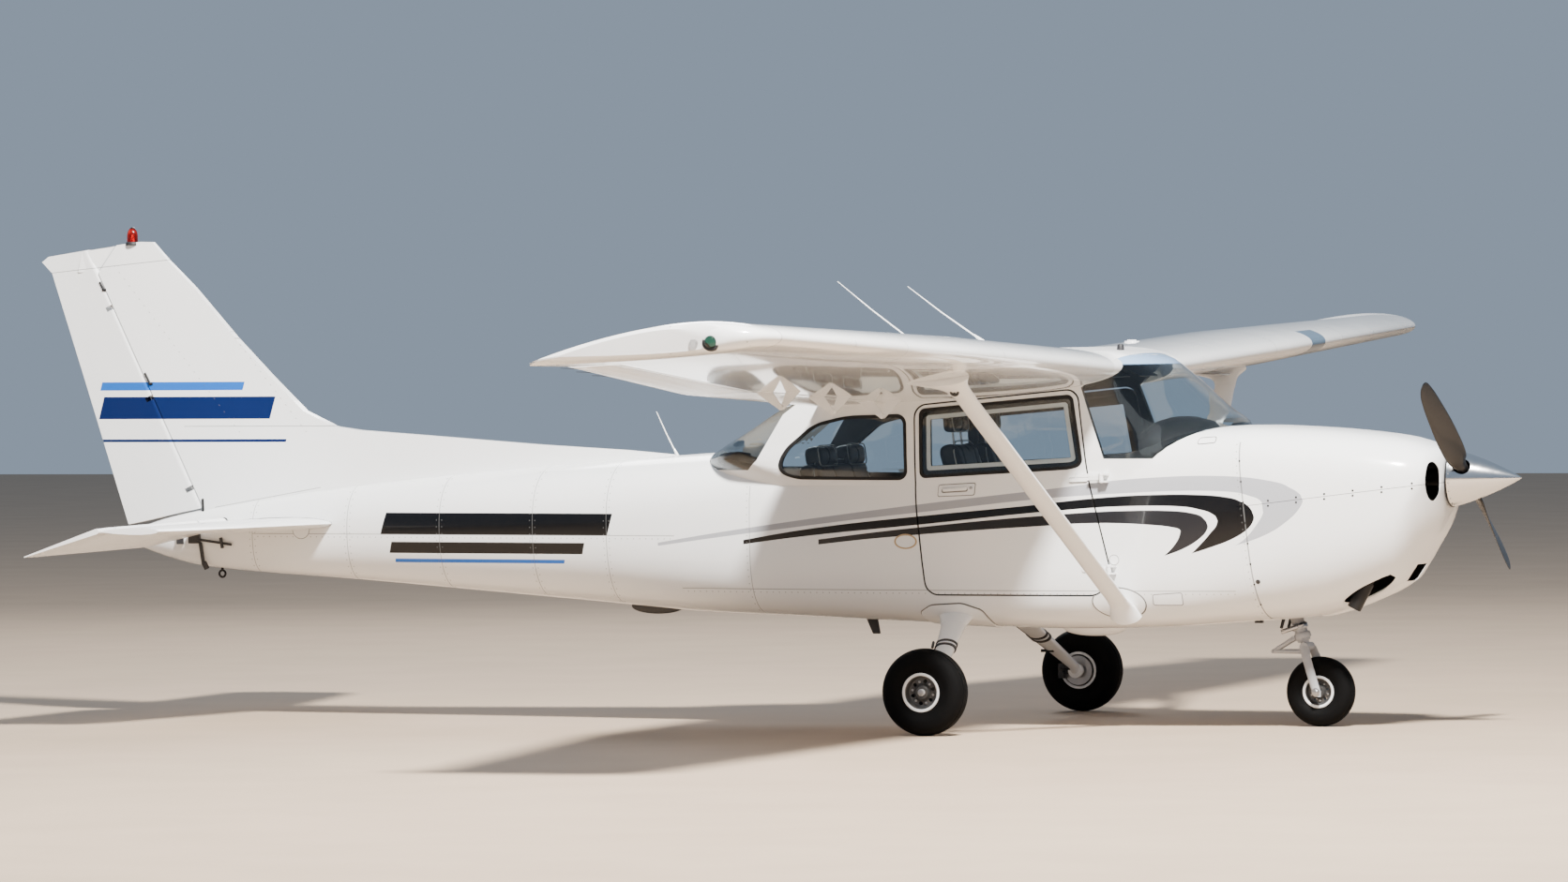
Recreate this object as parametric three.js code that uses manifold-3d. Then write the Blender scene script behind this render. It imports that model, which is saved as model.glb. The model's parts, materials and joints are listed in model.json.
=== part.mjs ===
// A four-seat light aircraft: a high wing on two struts, one engine in the nose and fixed tricycle gear.
// Millimetres. +X runs to the nose, +Y to port, +Z up. The origin is on the ground under the middle of
// the length and the span. The aircraft stands nose-up on its gear, as it parks.
import * as THREE from "three";
import { mergeVertices } from "three/addons/utils/BufferGeometryUtils.js";
import Module from "manifold-3d";

const wasm = await Module();
wasm.setup();

const { PI, abs, atan2, cos, hypot, pow, sign, sin, sqrt } = Math;

// Driving dimensions
const FIT = 0.3; // gap between pieces that rest on each other
const PANEL_GAP = 8; // gap round a door or a moving surface
const SMOOTH = 0.05; // slivers thinner than this go
// Hinge pins: how far they go into the surface, half the bracket's slot, and the bore that lets them turn.
const PIN = { radius: 6, bore: 6.8, sides: 8, reach: 13, slot: 13 };
const WALL = 38; // cabin wall, skin to trim, and so the doors
const SKIN = 8; // tail cone and cowl skin
const GLASS = 6;
const FIREWALL = { low: [2850, 450], high: [2735, 1600] };
const CABIN_END = -300;
const FLOOR = { top: 672, thick: 18 };

// The body by its cross sections: where the section is, its half width, the heights of its bottom, widest
// level and top, and how square it is over and under that level (2 is an ellipse).
const BODY = [
  // x, half, bottom, middle, top, over, under
  [3765, 190, 1150, 1270, 1395, 2.2, 2.2],
  [3742, 300, 1070, 1268, 1424, 2.4, 2.2],
  [3700, 370, 975, 1255, 1443, 2.7, 2.3],
  [3640, 408, 880, 1225, 1466, 2.9, 2.4],
  [3560, 436, 752, 1190, 1489, 3.0, 2.5],
  [3400, 466, 664, 1160, 1512, 3.3, 2.7],
  [3100, 497, 566, 1130, 1538, 3.6, 2.8],
  [2760, 522, 543, 1110, 1551, 4.0, 3.6],
  [2300, 536, 514, 1100, 1540, 4.0, 4.8],
  [1800, 540, 505, 1090, 1500, 4.0, 5.0],
  [1000, 535, 533, 1090, 1480, 4.0, 4.6],
  [300, 498, 558, 1085, 1440, 3.3, 3.8],
  [-200, 448, 573, 1075, 1415, 2.7, 3.0],
  [-1000, 352, 634, 1045, 1358, 2.3, 2.4],
  [-2200, 212, 730, 1010, 1250, 2.2, 2.2],
  [-3180, 105, 805, 980, 1118, 2.2, 2.2],
  [-3420, 76, 858, 975, 1066, 2.2, 2.2],
  [-3590, 36, 915, 965, 1010, 2.2, 2.2],
];

// The glazed upper cabin by level outlines: height, front on the centre line, where the front curve starts,
// half width, where the rear curve starts, and the rear on the centre line.
const UPPER = [
  // z, front, frontSide, half, rearSide, rear
  [1250, 2700, 2230, 530, 700, -330],
  [1400, 2690, 2190, 530, 130, -215],
  [1450, 2690, 2180, 527, 100, -120],
  [1552, 2688, 2150, 522, 200, 85],
  [1632, 2586, 2110, 516, 300, 245],
  [1750, 2446, 2050, 503, 560, 520],
  [1850, 2318, 2010, 492, 800, 760],
  [1905, 2232, 1975, 485, 900, 860],
  [1940, 2100, 1900, 470, 1000, 960],
];

// The wing by its sections: how far out, and the leading and trailing edge there.
const WING = [
  // y, leX, leZ, teX, teZ
  [562, 2150, 1860, 520, 1668],
  [2540, 2150, 1937, 553, 1753],
  [5280, 2085, 2042, 1030, 1914],
  [5420, 2030, 2046, 900, 1920],
  [5484, 1940, 2042, 960, 1940],
  [5500, 1850, 2030, 1080, 1960],
];
const AEROFOIL = { thick: 0.135, camber: 0.024, crest: 0.4, edge: 0.004, steps: 9 };

// Surfaces that are cut from the back of the wing: their ends, and how much of the chord is ahead of the pivot.
const FLAP = { from: 600, to: 2530, ahead: 0.76, drop: 75, brackets: [0.1, 0.5, 0.9] };
const AILERON = { from: 2550, to: 5200, ahead: 0.79 };

const STRUT = { low: [2173, 482, 603], high: [1870, 2300, 1812], chord: 108, thick: 40 };

const TAIL = { hingeX: -3040, hingeZ: 1040, droop: (18 * PI) / 180, rootY: 132, tipY: 1725, skin: 5, opening: [-2800, -2560] };
const STABILISER = [
  // y, front, rear, thick
  [0, -2360, -3005, 62],
  [250, -2372, -3005, 62],
  [1500, -2610, -3005, 44],
  [1690, -2700, -3005, 34],
];
const ELEVATOR = [
  // y, chord behind the pivot, radius of the nose
  [132, 210, 29],
  [262, 398, 28],
  [1600, 440, 17],
  [1725, 436, 14],
];

// The fin and rudder in side view.
const FIN_OUTLINE = [
  [-380, 1395], [-740, 1427], [-1235, 1457], [-1710, 1494], [-2285, 1537], [-2420, 1556], [-2600, 1640],
  [-2790, 1823], [-3000, 2036], [-3240, 2305], [-3400, 2460], [-3490, 2558], [-3560, 2560], [-3700, 2543],
];
const RUDDER_AXIS = { low: [-3210, 1100], high: [-3800, 2325] };
const RUDDER_OUTLINE = [
  [-3722, 2540], [-4110, 2484], [-4150, 2455], [-4090, 2395], [-3645, 1030], [-3560, 1046],
];
const FIN_HALF = { low: 48, high: 26 };

const MAIN_WHEEL = { x: 1360, y: 1276, radius: 222, width: 160, rim: 88, axle: 17.6 };
const NOSE_WHEEL = { x: 3068, radius: 180, width: 126, rim: 72, axle: 11.6 };
const NOSE_LEG = { high: [2862, 790], low: [2980, 440], radius: 34, piston: 23 };

const SPINNER = { tip: 4140, base: 3776, z: 1278, radius: 147 };
const PROPELLER = { x: 3850, turn: 60, shank: 33, hub: 46 };
const ENGINE = { front: 3500, half: 330, low: 880, high: 1290 };

const DOOR = {
  // side view of the opening, from the low front corner round the back
  outline: [[2110, 800], [2055, 690], [1110, 690], [1062, 1150], [1050, 1660], [1925, 1742], [1985, 1300]],
  round: 60,
  hinge: [2090, 560, 1050],
  hingeHeights: [820, 1290],
  lean: (4.6 * PI) / 180,
};
const DOOR_WINDOW = { outline: [[1090, 1300], [1084, 1636], [1895, 1706], [1952, 1365], [1900, 1345]], round: 50 };
const REAR_WINDOW_SIDE = {
  outline: [[302, 1332], [335, 1425], [500, 1560], [670, 1600], [990, 1610], [1000, 1290], [385, 1294]],
  round: 45,
};
const BAGGAGE_DOOR = {
  outline: [[640, 760], [180, 780], [180, 1200], [640, 1200]],
  round: 50,
  hinge: [646, 536, 980],
  hingeHeights: [860, 1100],
};

const COLOURS = {
  white: { color: 0xeef0f0, roughness: 0.25, metalness: 0.0 },
  glass: { color: 0x9fb4c0, roughness: 0.05, metalness: 0.0 },
  rubber: { color: 0x1c1c1d, roughness: 0.85, metalness: 0.0 },
  rim: { color: 0xd5d7d8, roughness: 0.35, metalness: 0.4 },
  steel: { color: 0x8c9094, roughness: 0.4, metalness: 0.8 },
  polished: { color: 0xd0d2d4, roughness: 0.12, metalness: 1.0 },
  black: { color: 0x18191b, roughness: 0.5, metalness: 0.0 },
  cloth: { color: 0x4a4d55, roughness: 0.9, metalness: 0.0 },
  red: { color: 0xb0201c, roughness: 0.3, metalness: 0.0 },
};

// Solids and how they are joined and cut

function solid(geometry) {
  const loose = geometry.index ? geometry.toNonIndexed() : geometry;
  const bare = new THREE.BufferGeometry().setAttribute("position", loose.getAttribute("position"));
  const merged = mergeVertices(bare, 1e-3);
  const vertProperties = merged.attributes.position.array;
  const triVerts = new Uint32Array(merged.index.array);
  return new wasm.Manifold(new wasm.Mesh({ numProp: 3, vertProperties, triVerts }));
}

function geometryOf(made) {
  const { numProp, vertProperties, triVerts } = made.getMesh();
  const position = new Float32Array(triVerts.length * 3);
  triVerts.forEach((v, i) => position.set(vertProperties.subarray(v * numProp, v * numProp + 3), i * 3));
  const geometry = new THREE.BufferGeometry();
  geometry.setAttribute("position", new THREE.BufferAttribute(position, 3));
  geometry.computeVertexNormals();
  return geometry;
}

// A closed skin over rings of equally many points, with a flat fan over each end.
function loft(rings) {
  const n = rings[0].length;
  const points = rings.flat();
  const index = [];
  for (let r = 0; r + 1 < rings.length; r++)
    for (let i = 0; i < n; i++) {
      const a = r * n + i;
      const b = r * n + ((i + 1) % n);
      index.push(a, b, b + n, a, b + n, a + n);
    }
  for (const r of [0, rings.length - 1]) {
    const centre = points.push(middleOf(rings[r])) - 1;
    for (let i = 0; i < n; i++) {
      const edge = [r * n + i, r * n + ((i + 1) % n)];
      index.push(...(r ? edge : edge.reverse()), centre);
    }
  }
  const volume = index.reduce((sum, _, k) => (k % 3 ? sum : sum + sixthOfBox(points, index, k)), 0);
  if (volume < 0) index.reverse();
  const geometry = new THREE.BufferGeometry().setFromPoints(points);
  geometry.setIndex(index);
  return solid(geometry);
}

function middleOf(ring) {
  return ring.reduce((sum, p) => sum.add(p), new THREE.Vector3()).divideScalar(ring.length);
}

function sixthOfBox(points, index, k) {
  const [a, b, c] = [points[index[k]], points[index[k + 1]], points[index[k + 2]]];
  return a.dot(b.clone().cross(c)) / 6;
}

function box(x, y, z) {
  const size = [x, y, z].map(([low, high]) => high - low);
  const centre = [x, y, z].map(([low, high]) => (low + high) / 2);
  return solid(new THREE.BoxGeometry(...size).translate(...centre));
}

// A side-view outline, its corners rounded, as a slab from one y to another.
function slab(outline, y, round = 0) {
  const shape = new THREE.Shape();
  const points = outline.map(([x, z]) => new THREE.Vector2(x, z));
  points.forEach((corner, i) => {
    const before = points.at(i - 1);
    const after = points[(i + 1) % points.length];
    const reach = (other) => Math.min(round, 0.45 * corner.distanceTo(other));
    const start = corner.clone().lerp(before, reach(before) / corner.distanceTo(before));
    const end = corner.clone().lerp(after, reach(after) / corner.distanceTo(after));
    if (i) shape.lineTo(start.x, start.y);
    else shape.moveTo(start.x, start.y);
    if (round) shape.quadraticCurveTo(corner.x, corner.y, end.x, end.y);
  });
  const depth = y[1] - y[0];
  const made = new THREE.ExtrudeGeometry(shape, { depth, bevelEnabled: false, curveSegments: 3 });
  return solid(made.rotateX(PI / 2).translate(0, y[1], 0));
}

// An outline with every edge moved out by some distance, for the gap round a door.
function grown(outline, by) {
  const turn = outline.reduce((sum, [x, z], i) => {
    const [nx, nz] = outline[(i + 1) % outline.length];
    return sum + x * nz - nx * z;
  }, 0);
  const edges = outline.map(([x, z], i) => {
    const [nx, nz] = outline[(i + 1) % outline.length];
    const length = hypot(nx - x, nz - z);
    const out = [((nz - z) / length) * sign(turn), (-(nx - x) / length) * sign(turn)];
    return { x: x + out[0] * by, z: z + out[1] * by, dx: nx - x, dz: nz - z };
  });
  return edges.map((b, i) => {
    const a = edges.at(i - 1);
    const t = ((b.x - a.x) * b.dz - (b.z - a.z) * b.dx) / (a.dx * b.dz - a.dz * b.dx);
    return [a.x + a.dx * t, a.z + a.dz * t];
  });
}

// A straight round bar between two points, its radius changing evenly.
function rod(from, to, radius, radiusTo = radius, sides = 12) {
  const a = new THREE.Vector3(...from);
  const along = new THREE.Vector3(...to).sub(a);
  const made = new THREE.CylinderGeometry(radiusTo, radius, along.length(), sides);
  made.translate(0, along.length() / 2, 0);
  made.applyQuaternion(new THREE.Quaternion().setFromUnitVectors(new THREE.Vector3(0, 1, 0), along.normalize()));
  return solid(made.translate(...a.toArray()));
}

// A turned piece about Z from a profile of radius against height.
function turned(profile, sides, closed = false) {
  const points = profile.map(([radius, height]) => new THREE.Vector2(radius, height));
  if (closed) points.push(points[0].clone());
  const made = solid(new THREE.LatheGeometry(points, sides).rotateX(PI / 2));
  if (made.volume() > 0) return made;
  return solid(new THREE.LatheGeometry(points.reverse(), sides).rotateX(PI / 2));
}

const union = (...solids) => solids.reduce((a, b) => a.add(b));
// Where a cut leaves slivers beside the piece, the piece is the largest of them.
const largest = (made) => made.decompose().reduce((a, b) => (a.volume() > b.volume() ? a : b));
const mirrored = (made) => made.scale([1, -1, 1]);

// The body and the cabin

const QUARTER = 6; // steps in a quarter of a section
const TRIM_QUARTER = 4; // and of the cabin's inside
const squircle = (t, power) => sign(t) * pow(abs(t), 2 / power);

function bodyRing([x, half, bottom, middle, top, over, under], wall, quarter) {
  return Array.from({ length: 4 * quarter }, (_, i) => {
    const angle = (i * PI) / (2 * quarter);
    const upper = sin(angle) > 0;
    const power = upper ? over : under;
    const height = (upper ? top - middle : middle - bottom) - wall;
    return new THREE.Vector3(
      x,
      (half - wall) * squircle(cos(angle).toFixed(9), power),
      middle + height * squircle(sin(angle).toFixed(9), power),
    );
  });
}

function bodySolid(wall, from, to, quarter = QUARTER) {
  const rows = BODY.filter(([x]) => x > from && x < to);
  const ends = [to, from].map(bodyRowAt);
  return loft([ends[0], ...rows, ends[1]].map((row) => bodyRing(row, wall, quarter)));
}

// The body's section anywhere along it, between the two sections of the table on either side.
function bodyRowAt(x) {
  const next = BODY.findIndex(([at]) => at <= x);
  if (next <= 0) return [x, ...BODY.at(next < 0 ? -1 : 0).slice(1)];
  const [a, b] = [BODY[next - 1], BODY[next]];
  return a.map((value, k) => (k ? value + ((b[k] - value) * (a[0] - x)) / (a[0] - b[0]) : x));
}

function upperRing([z, front, frontSide, half, rearSide, rear], wall, quarter) {
  const curves = [
    { centre: frontSide, reach: front - wall - frontSide, from: 0 },
    { centre: rearSide, reach: rearSide - rear - wall, from: PI / 2 },
  ];
  const portSide = curves.flatMap(({ centre, reach, from }) =>
    Array.from({ length: quarter + 1 }, (_, i) => {
      const angle = from + (i * PI) / (2 * quarter);
      return [centre + reach * cos(angle), (half - wall) * sin(angle)];
    }),
  );
  const starboardSide = portSide.slice(1, -1).reverse().map(([x, y]) => [x, -y]);
  return [...portSide, ...starboardSide].map(([x, y]) => new THREE.Vector3(x, y, z));
}

function upperSolid(wall, quarter = QUARTER) {
  const rows = UPPER.map(([z, ...rest], i) => [z - (i === UPPER.length - 1 ? wall : 0), ...rest]);
  return loft(rows.map((row) => upperRing(row, wall, quarter)));
}

// How thick the aerofoil is and where its middle line runs, at a fraction of the chord.
function aerofoil(u) {
  const { thick, camber, crest, edge } = AEROFOIL;
  const shape = 0.2969 * sqrt(u) - 0.126 * u - 0.3516 * u ** 2 + 0.2843 * u ** 3 - 0.1036 * u ** 4;
  const half = 5 * thick * shape + edge * u;
  const before = u < crest;
  const span = before ? crest : 1 - crest;
  const line = (camber / span ** 2) * (before ? 2 * crest * u - u * u : 1 - 2 * crest + 2 * crest * u - u * u);
  return { half, line };
}

function wingRing([y, leX, leZ, teX, teZ]) {
  const chord = hypot(leX - teX, leZ - teZ);
  const back = new THREE.Vector2(teX - leX, teZ - leZ).divideScalar(chord);
  const up = new THREE.Vector2(-back.y, back.x).multiplyScalar(-1);
  const { steps } = AEROFOIL;
  const place = (u, v) => new THREE.Vector3(
    leX + chord * (back.x * u + up.x * v),
    y,
    leZ + chord * (back.y * u + up.y * v),
  );
  const stations = Array.from({ length: steps + 1 }, (_, i) => 1 - cos((i * PI) / (2 * steps)));
  const upper = stations.map((u) => place(u, aerofoil(u).line + aerofoil(u).half));
  const lower = stations.map((u) => place(u, aerofoil(u).line - aerofoil(u).half));
  return [...upper.reverse(), ...lower.slice(1)];
}

const between = (a, b, t) => a.map((value, i) => value + (b[i] - value) * t);

// The wing's section at any distance out.
function wingRowAt(y) {
  const next = WING.findIndex(([at]) => at >= y);
  const [a, b] = [WING[next - 1], WING[next]];
  return between(a, b, (y - a[0]) / (b[0] - a[0]));
}

// A point on a wing section's middle line and the half thickness there.
function wingPoint(y, u) {
  const [, leX, leZ, teX, teZ] = wingRowAt(y);
  const { half, line } = aerofoil(u);
  const chord = hypot(leX - teX, leZ - teZ);
  const pitch = atan2(leZ - teZ, leX - teX);
  return {
    x: leX + (teX - leX) * u + chord * line * -sin(pitch),
    y,
    z: leZ + (teZ - leZ) * u + chord * line * cos(pitch),
    half: chord * half,
  };
}

// The wedge of space behind a pivot line that runs across the wing, with round stock about the line.
function behindPivot(from, to, ahead, gap, ends) {
  const [a, b] = [wingPoint(from, ahead), wingPoint(to, ahead)];
  const beyond = (p, q, by) => ({
    x: p.x + ((p.x - q.x) * by) / (abs(p.y - q.y)),
    y: p.y + ((p.y - q.y) * by) / abs(p.y - q.y),
    z: p.z + ((p.z - q.z) * by) / (abs(p.y - q.y)),
    half: p.half,
  });
  const [start, end] = [beyond(a, b, ends), beyond(b, a, ends)];
  const rings = [start, end].map(({ x, y, z, half }) => {
    const radius = half * 0.985 + gap;
    const nose = Array.from({ length: 9 }, (_, i) => {
      const angle = PI / 2 - (i * PI) / 8;
      return new THREE.Vector3(x + radius * cos(angle), y, z + radius * sin(angle));
    });
    const tall = 200;
    return [
      new THREE.Vector3(x, y, z + tall), nose[0], ...nose.slice(1, -1), nose.at(-1),
      new THREE.Vector3(x, y, z - tall), new THREE.Vector3(x - 900, y, z - tall), new THREE.Vector3(x - 900, y, z + tall),
    ];
  });
  return loft(rings);
}

// Which side of a leaning line in side view a slab covers.
function ahead({ low, high }, gap = 0) {
  return slab([[low[0] + gap, low[1]], [4600, low[1]], [4600, high[1]], [high[0] + gap, high[1]]], [-900, 900]);
}

const firewallSpace = { low: [FIREWALL.low[0] + 15, 300], high: [FIREWALL.high[0] - 30, 1900] };

function cabin() {
  const front = 2900;
  const outside = bodySolid(0, CABIN_END, front);
  const inside = bodySolid(WALL, CABIN_END - 50, front, TRIM_QUARTER);
  const upperOutside = upperSolid(0);
  const upperInside = upperSolid(WALL, TRIM_QUARTER);
  const roof = loft([-WING[0][0] + FIT, WING[0][0] - FIT].map((y) => wingRing([y, ...WING[0].slice(1)])));
  const aft = box([CABIN_END - 400, CABIN_END], [-900, 900], [0, 2500]);
  const shell = union(outside, upperOutside.subtract(aft), roof).subtract(ahead(firewallSpace));
  const room = union(inside, upperInside.subtract(aft)).subtract(ahead(firewallSpace, -12));
  return { shell, room, upperOutside, bodyOutside: outside };
}

const cabinParts = cabin();

const WINDSHIELD_CUT = [[2075, 1388], [1948, 1752], [2120, 1905], [2230, 1960], [3100, 1960], [3100, 1388]];
const REAR_CUT = [[120, 1330], [180, 1382], [325, 1620], [450, 1712], [-500, 1712], [-500, 1330]];

function glassFrom(cut) {
  const skin = cabinParts.upperOutside.subtract(upperSolid(GLASS));
  return largest(skin.intersect(cut).subtract(bodySolid(-1, CABIN_END, 2900)));
}

function build() {
  const root = new THREE.Group();
  const materials = Object.fromEntries(
    Object.entries(COLOURS).map(([name, look]) => [name, new THREE.MeshStandardMaterial(look)]),
  );
  const add = (name, made, colour) => {
    const mesh = new THREE.Mesh(geometryOf(made.simplify(SMOOTH)), materials[colour]);
    mesh.name = name;
    root.add(mesh);
  };
  // The body's facets aren't quite mirror images, so what it trims is trimmed after the mirroring.
  const addPair = (name, starboard, colour, trim = (made) => made) => {
    add(name + "_starboard", trim(starboard), colour);
    add(name + "_port", trim(mirrored(starboard)), colour);
  };
  addCabin(add, addPair);
  addNose(add);
  addWing(addPair);
  addTail(add);
  addGear(add, addPair);
  return root;
}

// Side openings are cut through the starboard wall; the port ones are their mirror images.
const STARBOARD = [-800, -350];

function addCabin(add, addPair) {
  const { shell, room } = cabinParts;
  const doorway = slab(grown(DOOR.outline, PANEL_GAP), STARBOARD, DOOR.round + PANEL_GAP);
  const sideWindow = slab(REAR_WINDOW_SIDE.outline, STARBOARD, REAR_WINDOW_SIDE.round);
  const baggage = mirrored(slab(grown(BAGGAGE_DOOR.outline, PANEL_GAP), STARBOARD, BAGGAGE_DOOR.round));
  const windshieldCut = slab(WINDSHIELD_CUT, [-800, 800]);
  const rearCut = slab(REAR_CUT, [-800, 800]).subtract(box([-500, 500], [-800, 800], [1000, 1330]));
  const bodyKept = bodySolid(0, CABIN_END, 2900);
  const hollow = shell.subtract(room);
  let opened = hollow
    .subtract(doorway).subtract(mirrored(doorway))
    .subtract(sideWindow).subtract(mirrored(sideWindow))
    .subtract(baggage)
    .subtract(windshieldCut.subtract(bodyKept))
    .subtract(rearCut.subtract(bodyKept));
  // The walls aren't quite mirror images in their facets, so each side's pieces are cut from its own wall.
  const bodyGlass = union(cabinParts.bodyOutside, cabinParts.upperOutside)
    .subtract(union(bodySolid(GLASS, CABIN_END, 2900), upperSolid(GLASS)));
  for (const [side, place] of [["starboard", (made) => made], ["port", mirrored]]) {
    const cutter = ({ outline, round }, by = 0) => place(slab(grown(outline, by), STARBOARD, round));
    const hinges = DOOR.hingeHeights.map((height) => doorHinge(DOOR, height, doorEdgeAt(height)));
    const panel = hollow.intersect(cutter(DOOR)).subtract(cutter(DOOR_WINDOW));
    add("door_" + side, union(panel, ...hinges.map(({ moving }) => place(moving))), "white");
    opened = union(opened, ...hinges.map(({ fixed }) => place(fixed)));
    add("door_glass_" + side, bodyGlass.intersect(cutter(DOOR_WINDOW, -FIT)), "glass");
    add("side_window_" + side, bodyGlass.intersect(cutter(REAR_WINDOW_SIDE, -FIT)), "glass");
  }
  const baggageBlank = mirrored(slab(BAGGAGE_DOOR.outline, STARBOARD, BAGGAGE_DOOR.round));
  const hinges = BAGGAGE_DOOR.hingeHeights.map((height) => doorHinge(BAGGAGE_DOOR, height, BAGGAGE_DOOR.outline[0][0]));
  add("baggage_door", union(hollow.intersect(baggageBlank), ...hinges.map(({ moving }) => mirrored(moving))), "white");
  opened = union(opened, ...hinges.map(({ fixed }) => mirrored(fixed)));

  add("cabin_shell", opened, "white");

  add("windshield", glassFrom(slab(grown(WINDSHIELD_CUT, -FIT), [-800, 800])), "glass");
  add("rear_window", glassFrom(slab(grown(REAR_CUT, -FIT), [-800, 800])), "glass");

  addCabinFittings(add, addPair);
}

// A door hinge at some height on the starboard side: ears and a pin on the body, and a knuckle with an arm on
// the door, whose front edge is at edge.
function doorHinge({ hinge: [x, y, z], lean = 0 }, height, edge) {
  const up = [-sin(lean), 0, cos(lean)];
  const at = (by) => [x + (up[0] * (height - z)) / up[2] + up[0] * by, -y, height + up[2] * by];
  const [px] = at(0);
  const knuckle = { half: 12, radius: 12 };
  const bar = (from, to, radius) => rod(at(from), at(to), radius, radius, PIN.sides);
  const ear = (from, to) => union(
    bar(from, to, knuckle.radius),
    box([px + 3, px + 34], [-y - 10, -y + 60], [height + Math.min(from, to) + 1, height + Math.max(from, to) - 1]),
  );
  const fixed = union(
    ear(knuckle.half + FIT, knuckle.half + 12),
    ear(-knuckle.half - FIT, -knuckle.half - 12),
    bar(-knuckle.half - 8, knuckle.half + 8, PIN.radius),
  );
  const arm = union(
    bar(-knuckle.half, knuckle.half, knuckle.radius),
    box([edge - 50, px - 2], [-y - 10, -y + 8], [height - 10, height + 10]),
    box([edge - 50, edge - 14], [-y - 10, -y + 40], [height - 10, height + 10]),
  );
  return { fixed, moving: arm.subtract(bar(-30, 30, PIN.bore)) };
}

// Where the door's front edge is at some height.
function doorEdgeAt(height) {
  const front = [DOOR.outline.at(-2), DOOR.outline.at(-1), DOOR.outline[0]];
  const high = front.findIndex(([, z], i) => height <= z && height >= front[i + 1][1]);
  const [a, b] = [front[high], front[high + 1]];
  return a[0] + ((b[0] - a[0]) * (a[1] - height)) / (a[1] - b[1]);
}

// The room inside the cabin with a hair's gap to its walls, which trims what is fitted into it.
function fittingRoom() {
  const room = union(
    bodySolid(WALL + FIT, CABIN_END + FIT, 2900, TRIM_QUARTER),
    upperSolid(WALL + FIT, TRIM_QUARTER),
  );
  return room.subtract(ahead(firewallSpace, -12 - FIT)).intersect(box([CABIN_END + 10, 3000], [-900, 900], [0, 2500]));
}

const SEATS = { x: 1240, half: 205, y: 255, base: 930 };
const REAR_BENCH = { x: 470, half: 430, base: 900 };
const SEAT_SIDE = [
  [430, 0], [450, 90], [120, 110], [-10, 560], [-35, 760], [-110, 750], [-90, 545], [-20, 0],
];
const BENCH_SIDE = [
  [420, 0], [440, 100], [110, 120], [-15, 500], [-85, 570], [-170, 560], [-90, 300], [-40, 0],
];

function seatSolid(side, { x, base }, y) {
  const outline = side.map(([dx, dz]) => [x + dx, base + FIT + dz]);
  return slab(outline, y, 40);
}

function addCabinFittings(add, addPair) {
  const room = fittingRoom();
  const floor = box([CABIN_END + 20, 2700], [-600, 600], [FLOOR.top - FLOOR.thick, FLOOR.top]);
  const stands = [];
  for (const side of [-1, 1]) {
    const y = [SEATS.y * side - 150, SEATS.y * side + 150];
    stands.push(box([SEATS.x + 20, SEATS.x + 380], y, [FLOOR.top - 1, SEATS.base]));
  }
  stands.push(box([REAR_BENCH.x, REAR_BENCH.x + 340], [-380, 380], [FLOOR.top - 1, REAR_BENCH.base]));
  const nearDoors = slab(grown(DOOR.outline, 20), [-700, 700]);
  const floorPiece = union(floor, ...stands).intersect(room);
  add("cabin_floor", floorPiece, "black");
  const [inner, outer] = [SEATS.y - SEATS.half, SEATS.y + SEATS.half];
  addPair("front_seat", seatSolid(SEAT_SIDE, SEATS, [-outer, -inner]), "cloth");
  add("rear_seat", seatSolid(BENCH_SIDE, REAR_BENCH, [-REAR_BENCH.half, REAR_BENCH.half]), "cloth");

  const panelOutline = [[2150, 980], [2105, 1395], [2560, 1480], [2560, 1440], [2140, 1350], [2185, 980]];
  const panel = slab(panelOutline, [-600, 600]).intersect(room).subtract(nearDoors.subtract(slab(DOOR.outline, [-480, 480])));
  add("instrument_panel", panel, "black");
  const yoke = (y) => union(
    rod([2125.3, y, 1180], [1960, y, 1195], 13),
    box([1935, 1962], [y - 120, y + 120], [1180, 1212]),
    box([1930, 1958], [y - 146, y - 116], [1180, 1290]),
    box([1930, 1958], [y + 116, y + 146], [1180, 1290]),
  );
  add("control_yoke_starboard", yoke(-270), "black");
  add("control_yoke_port", yoke(270), "black");
}

const COWL_SPLIT = { rear: [2600, 1120], front: [3900, 1272] };

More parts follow.
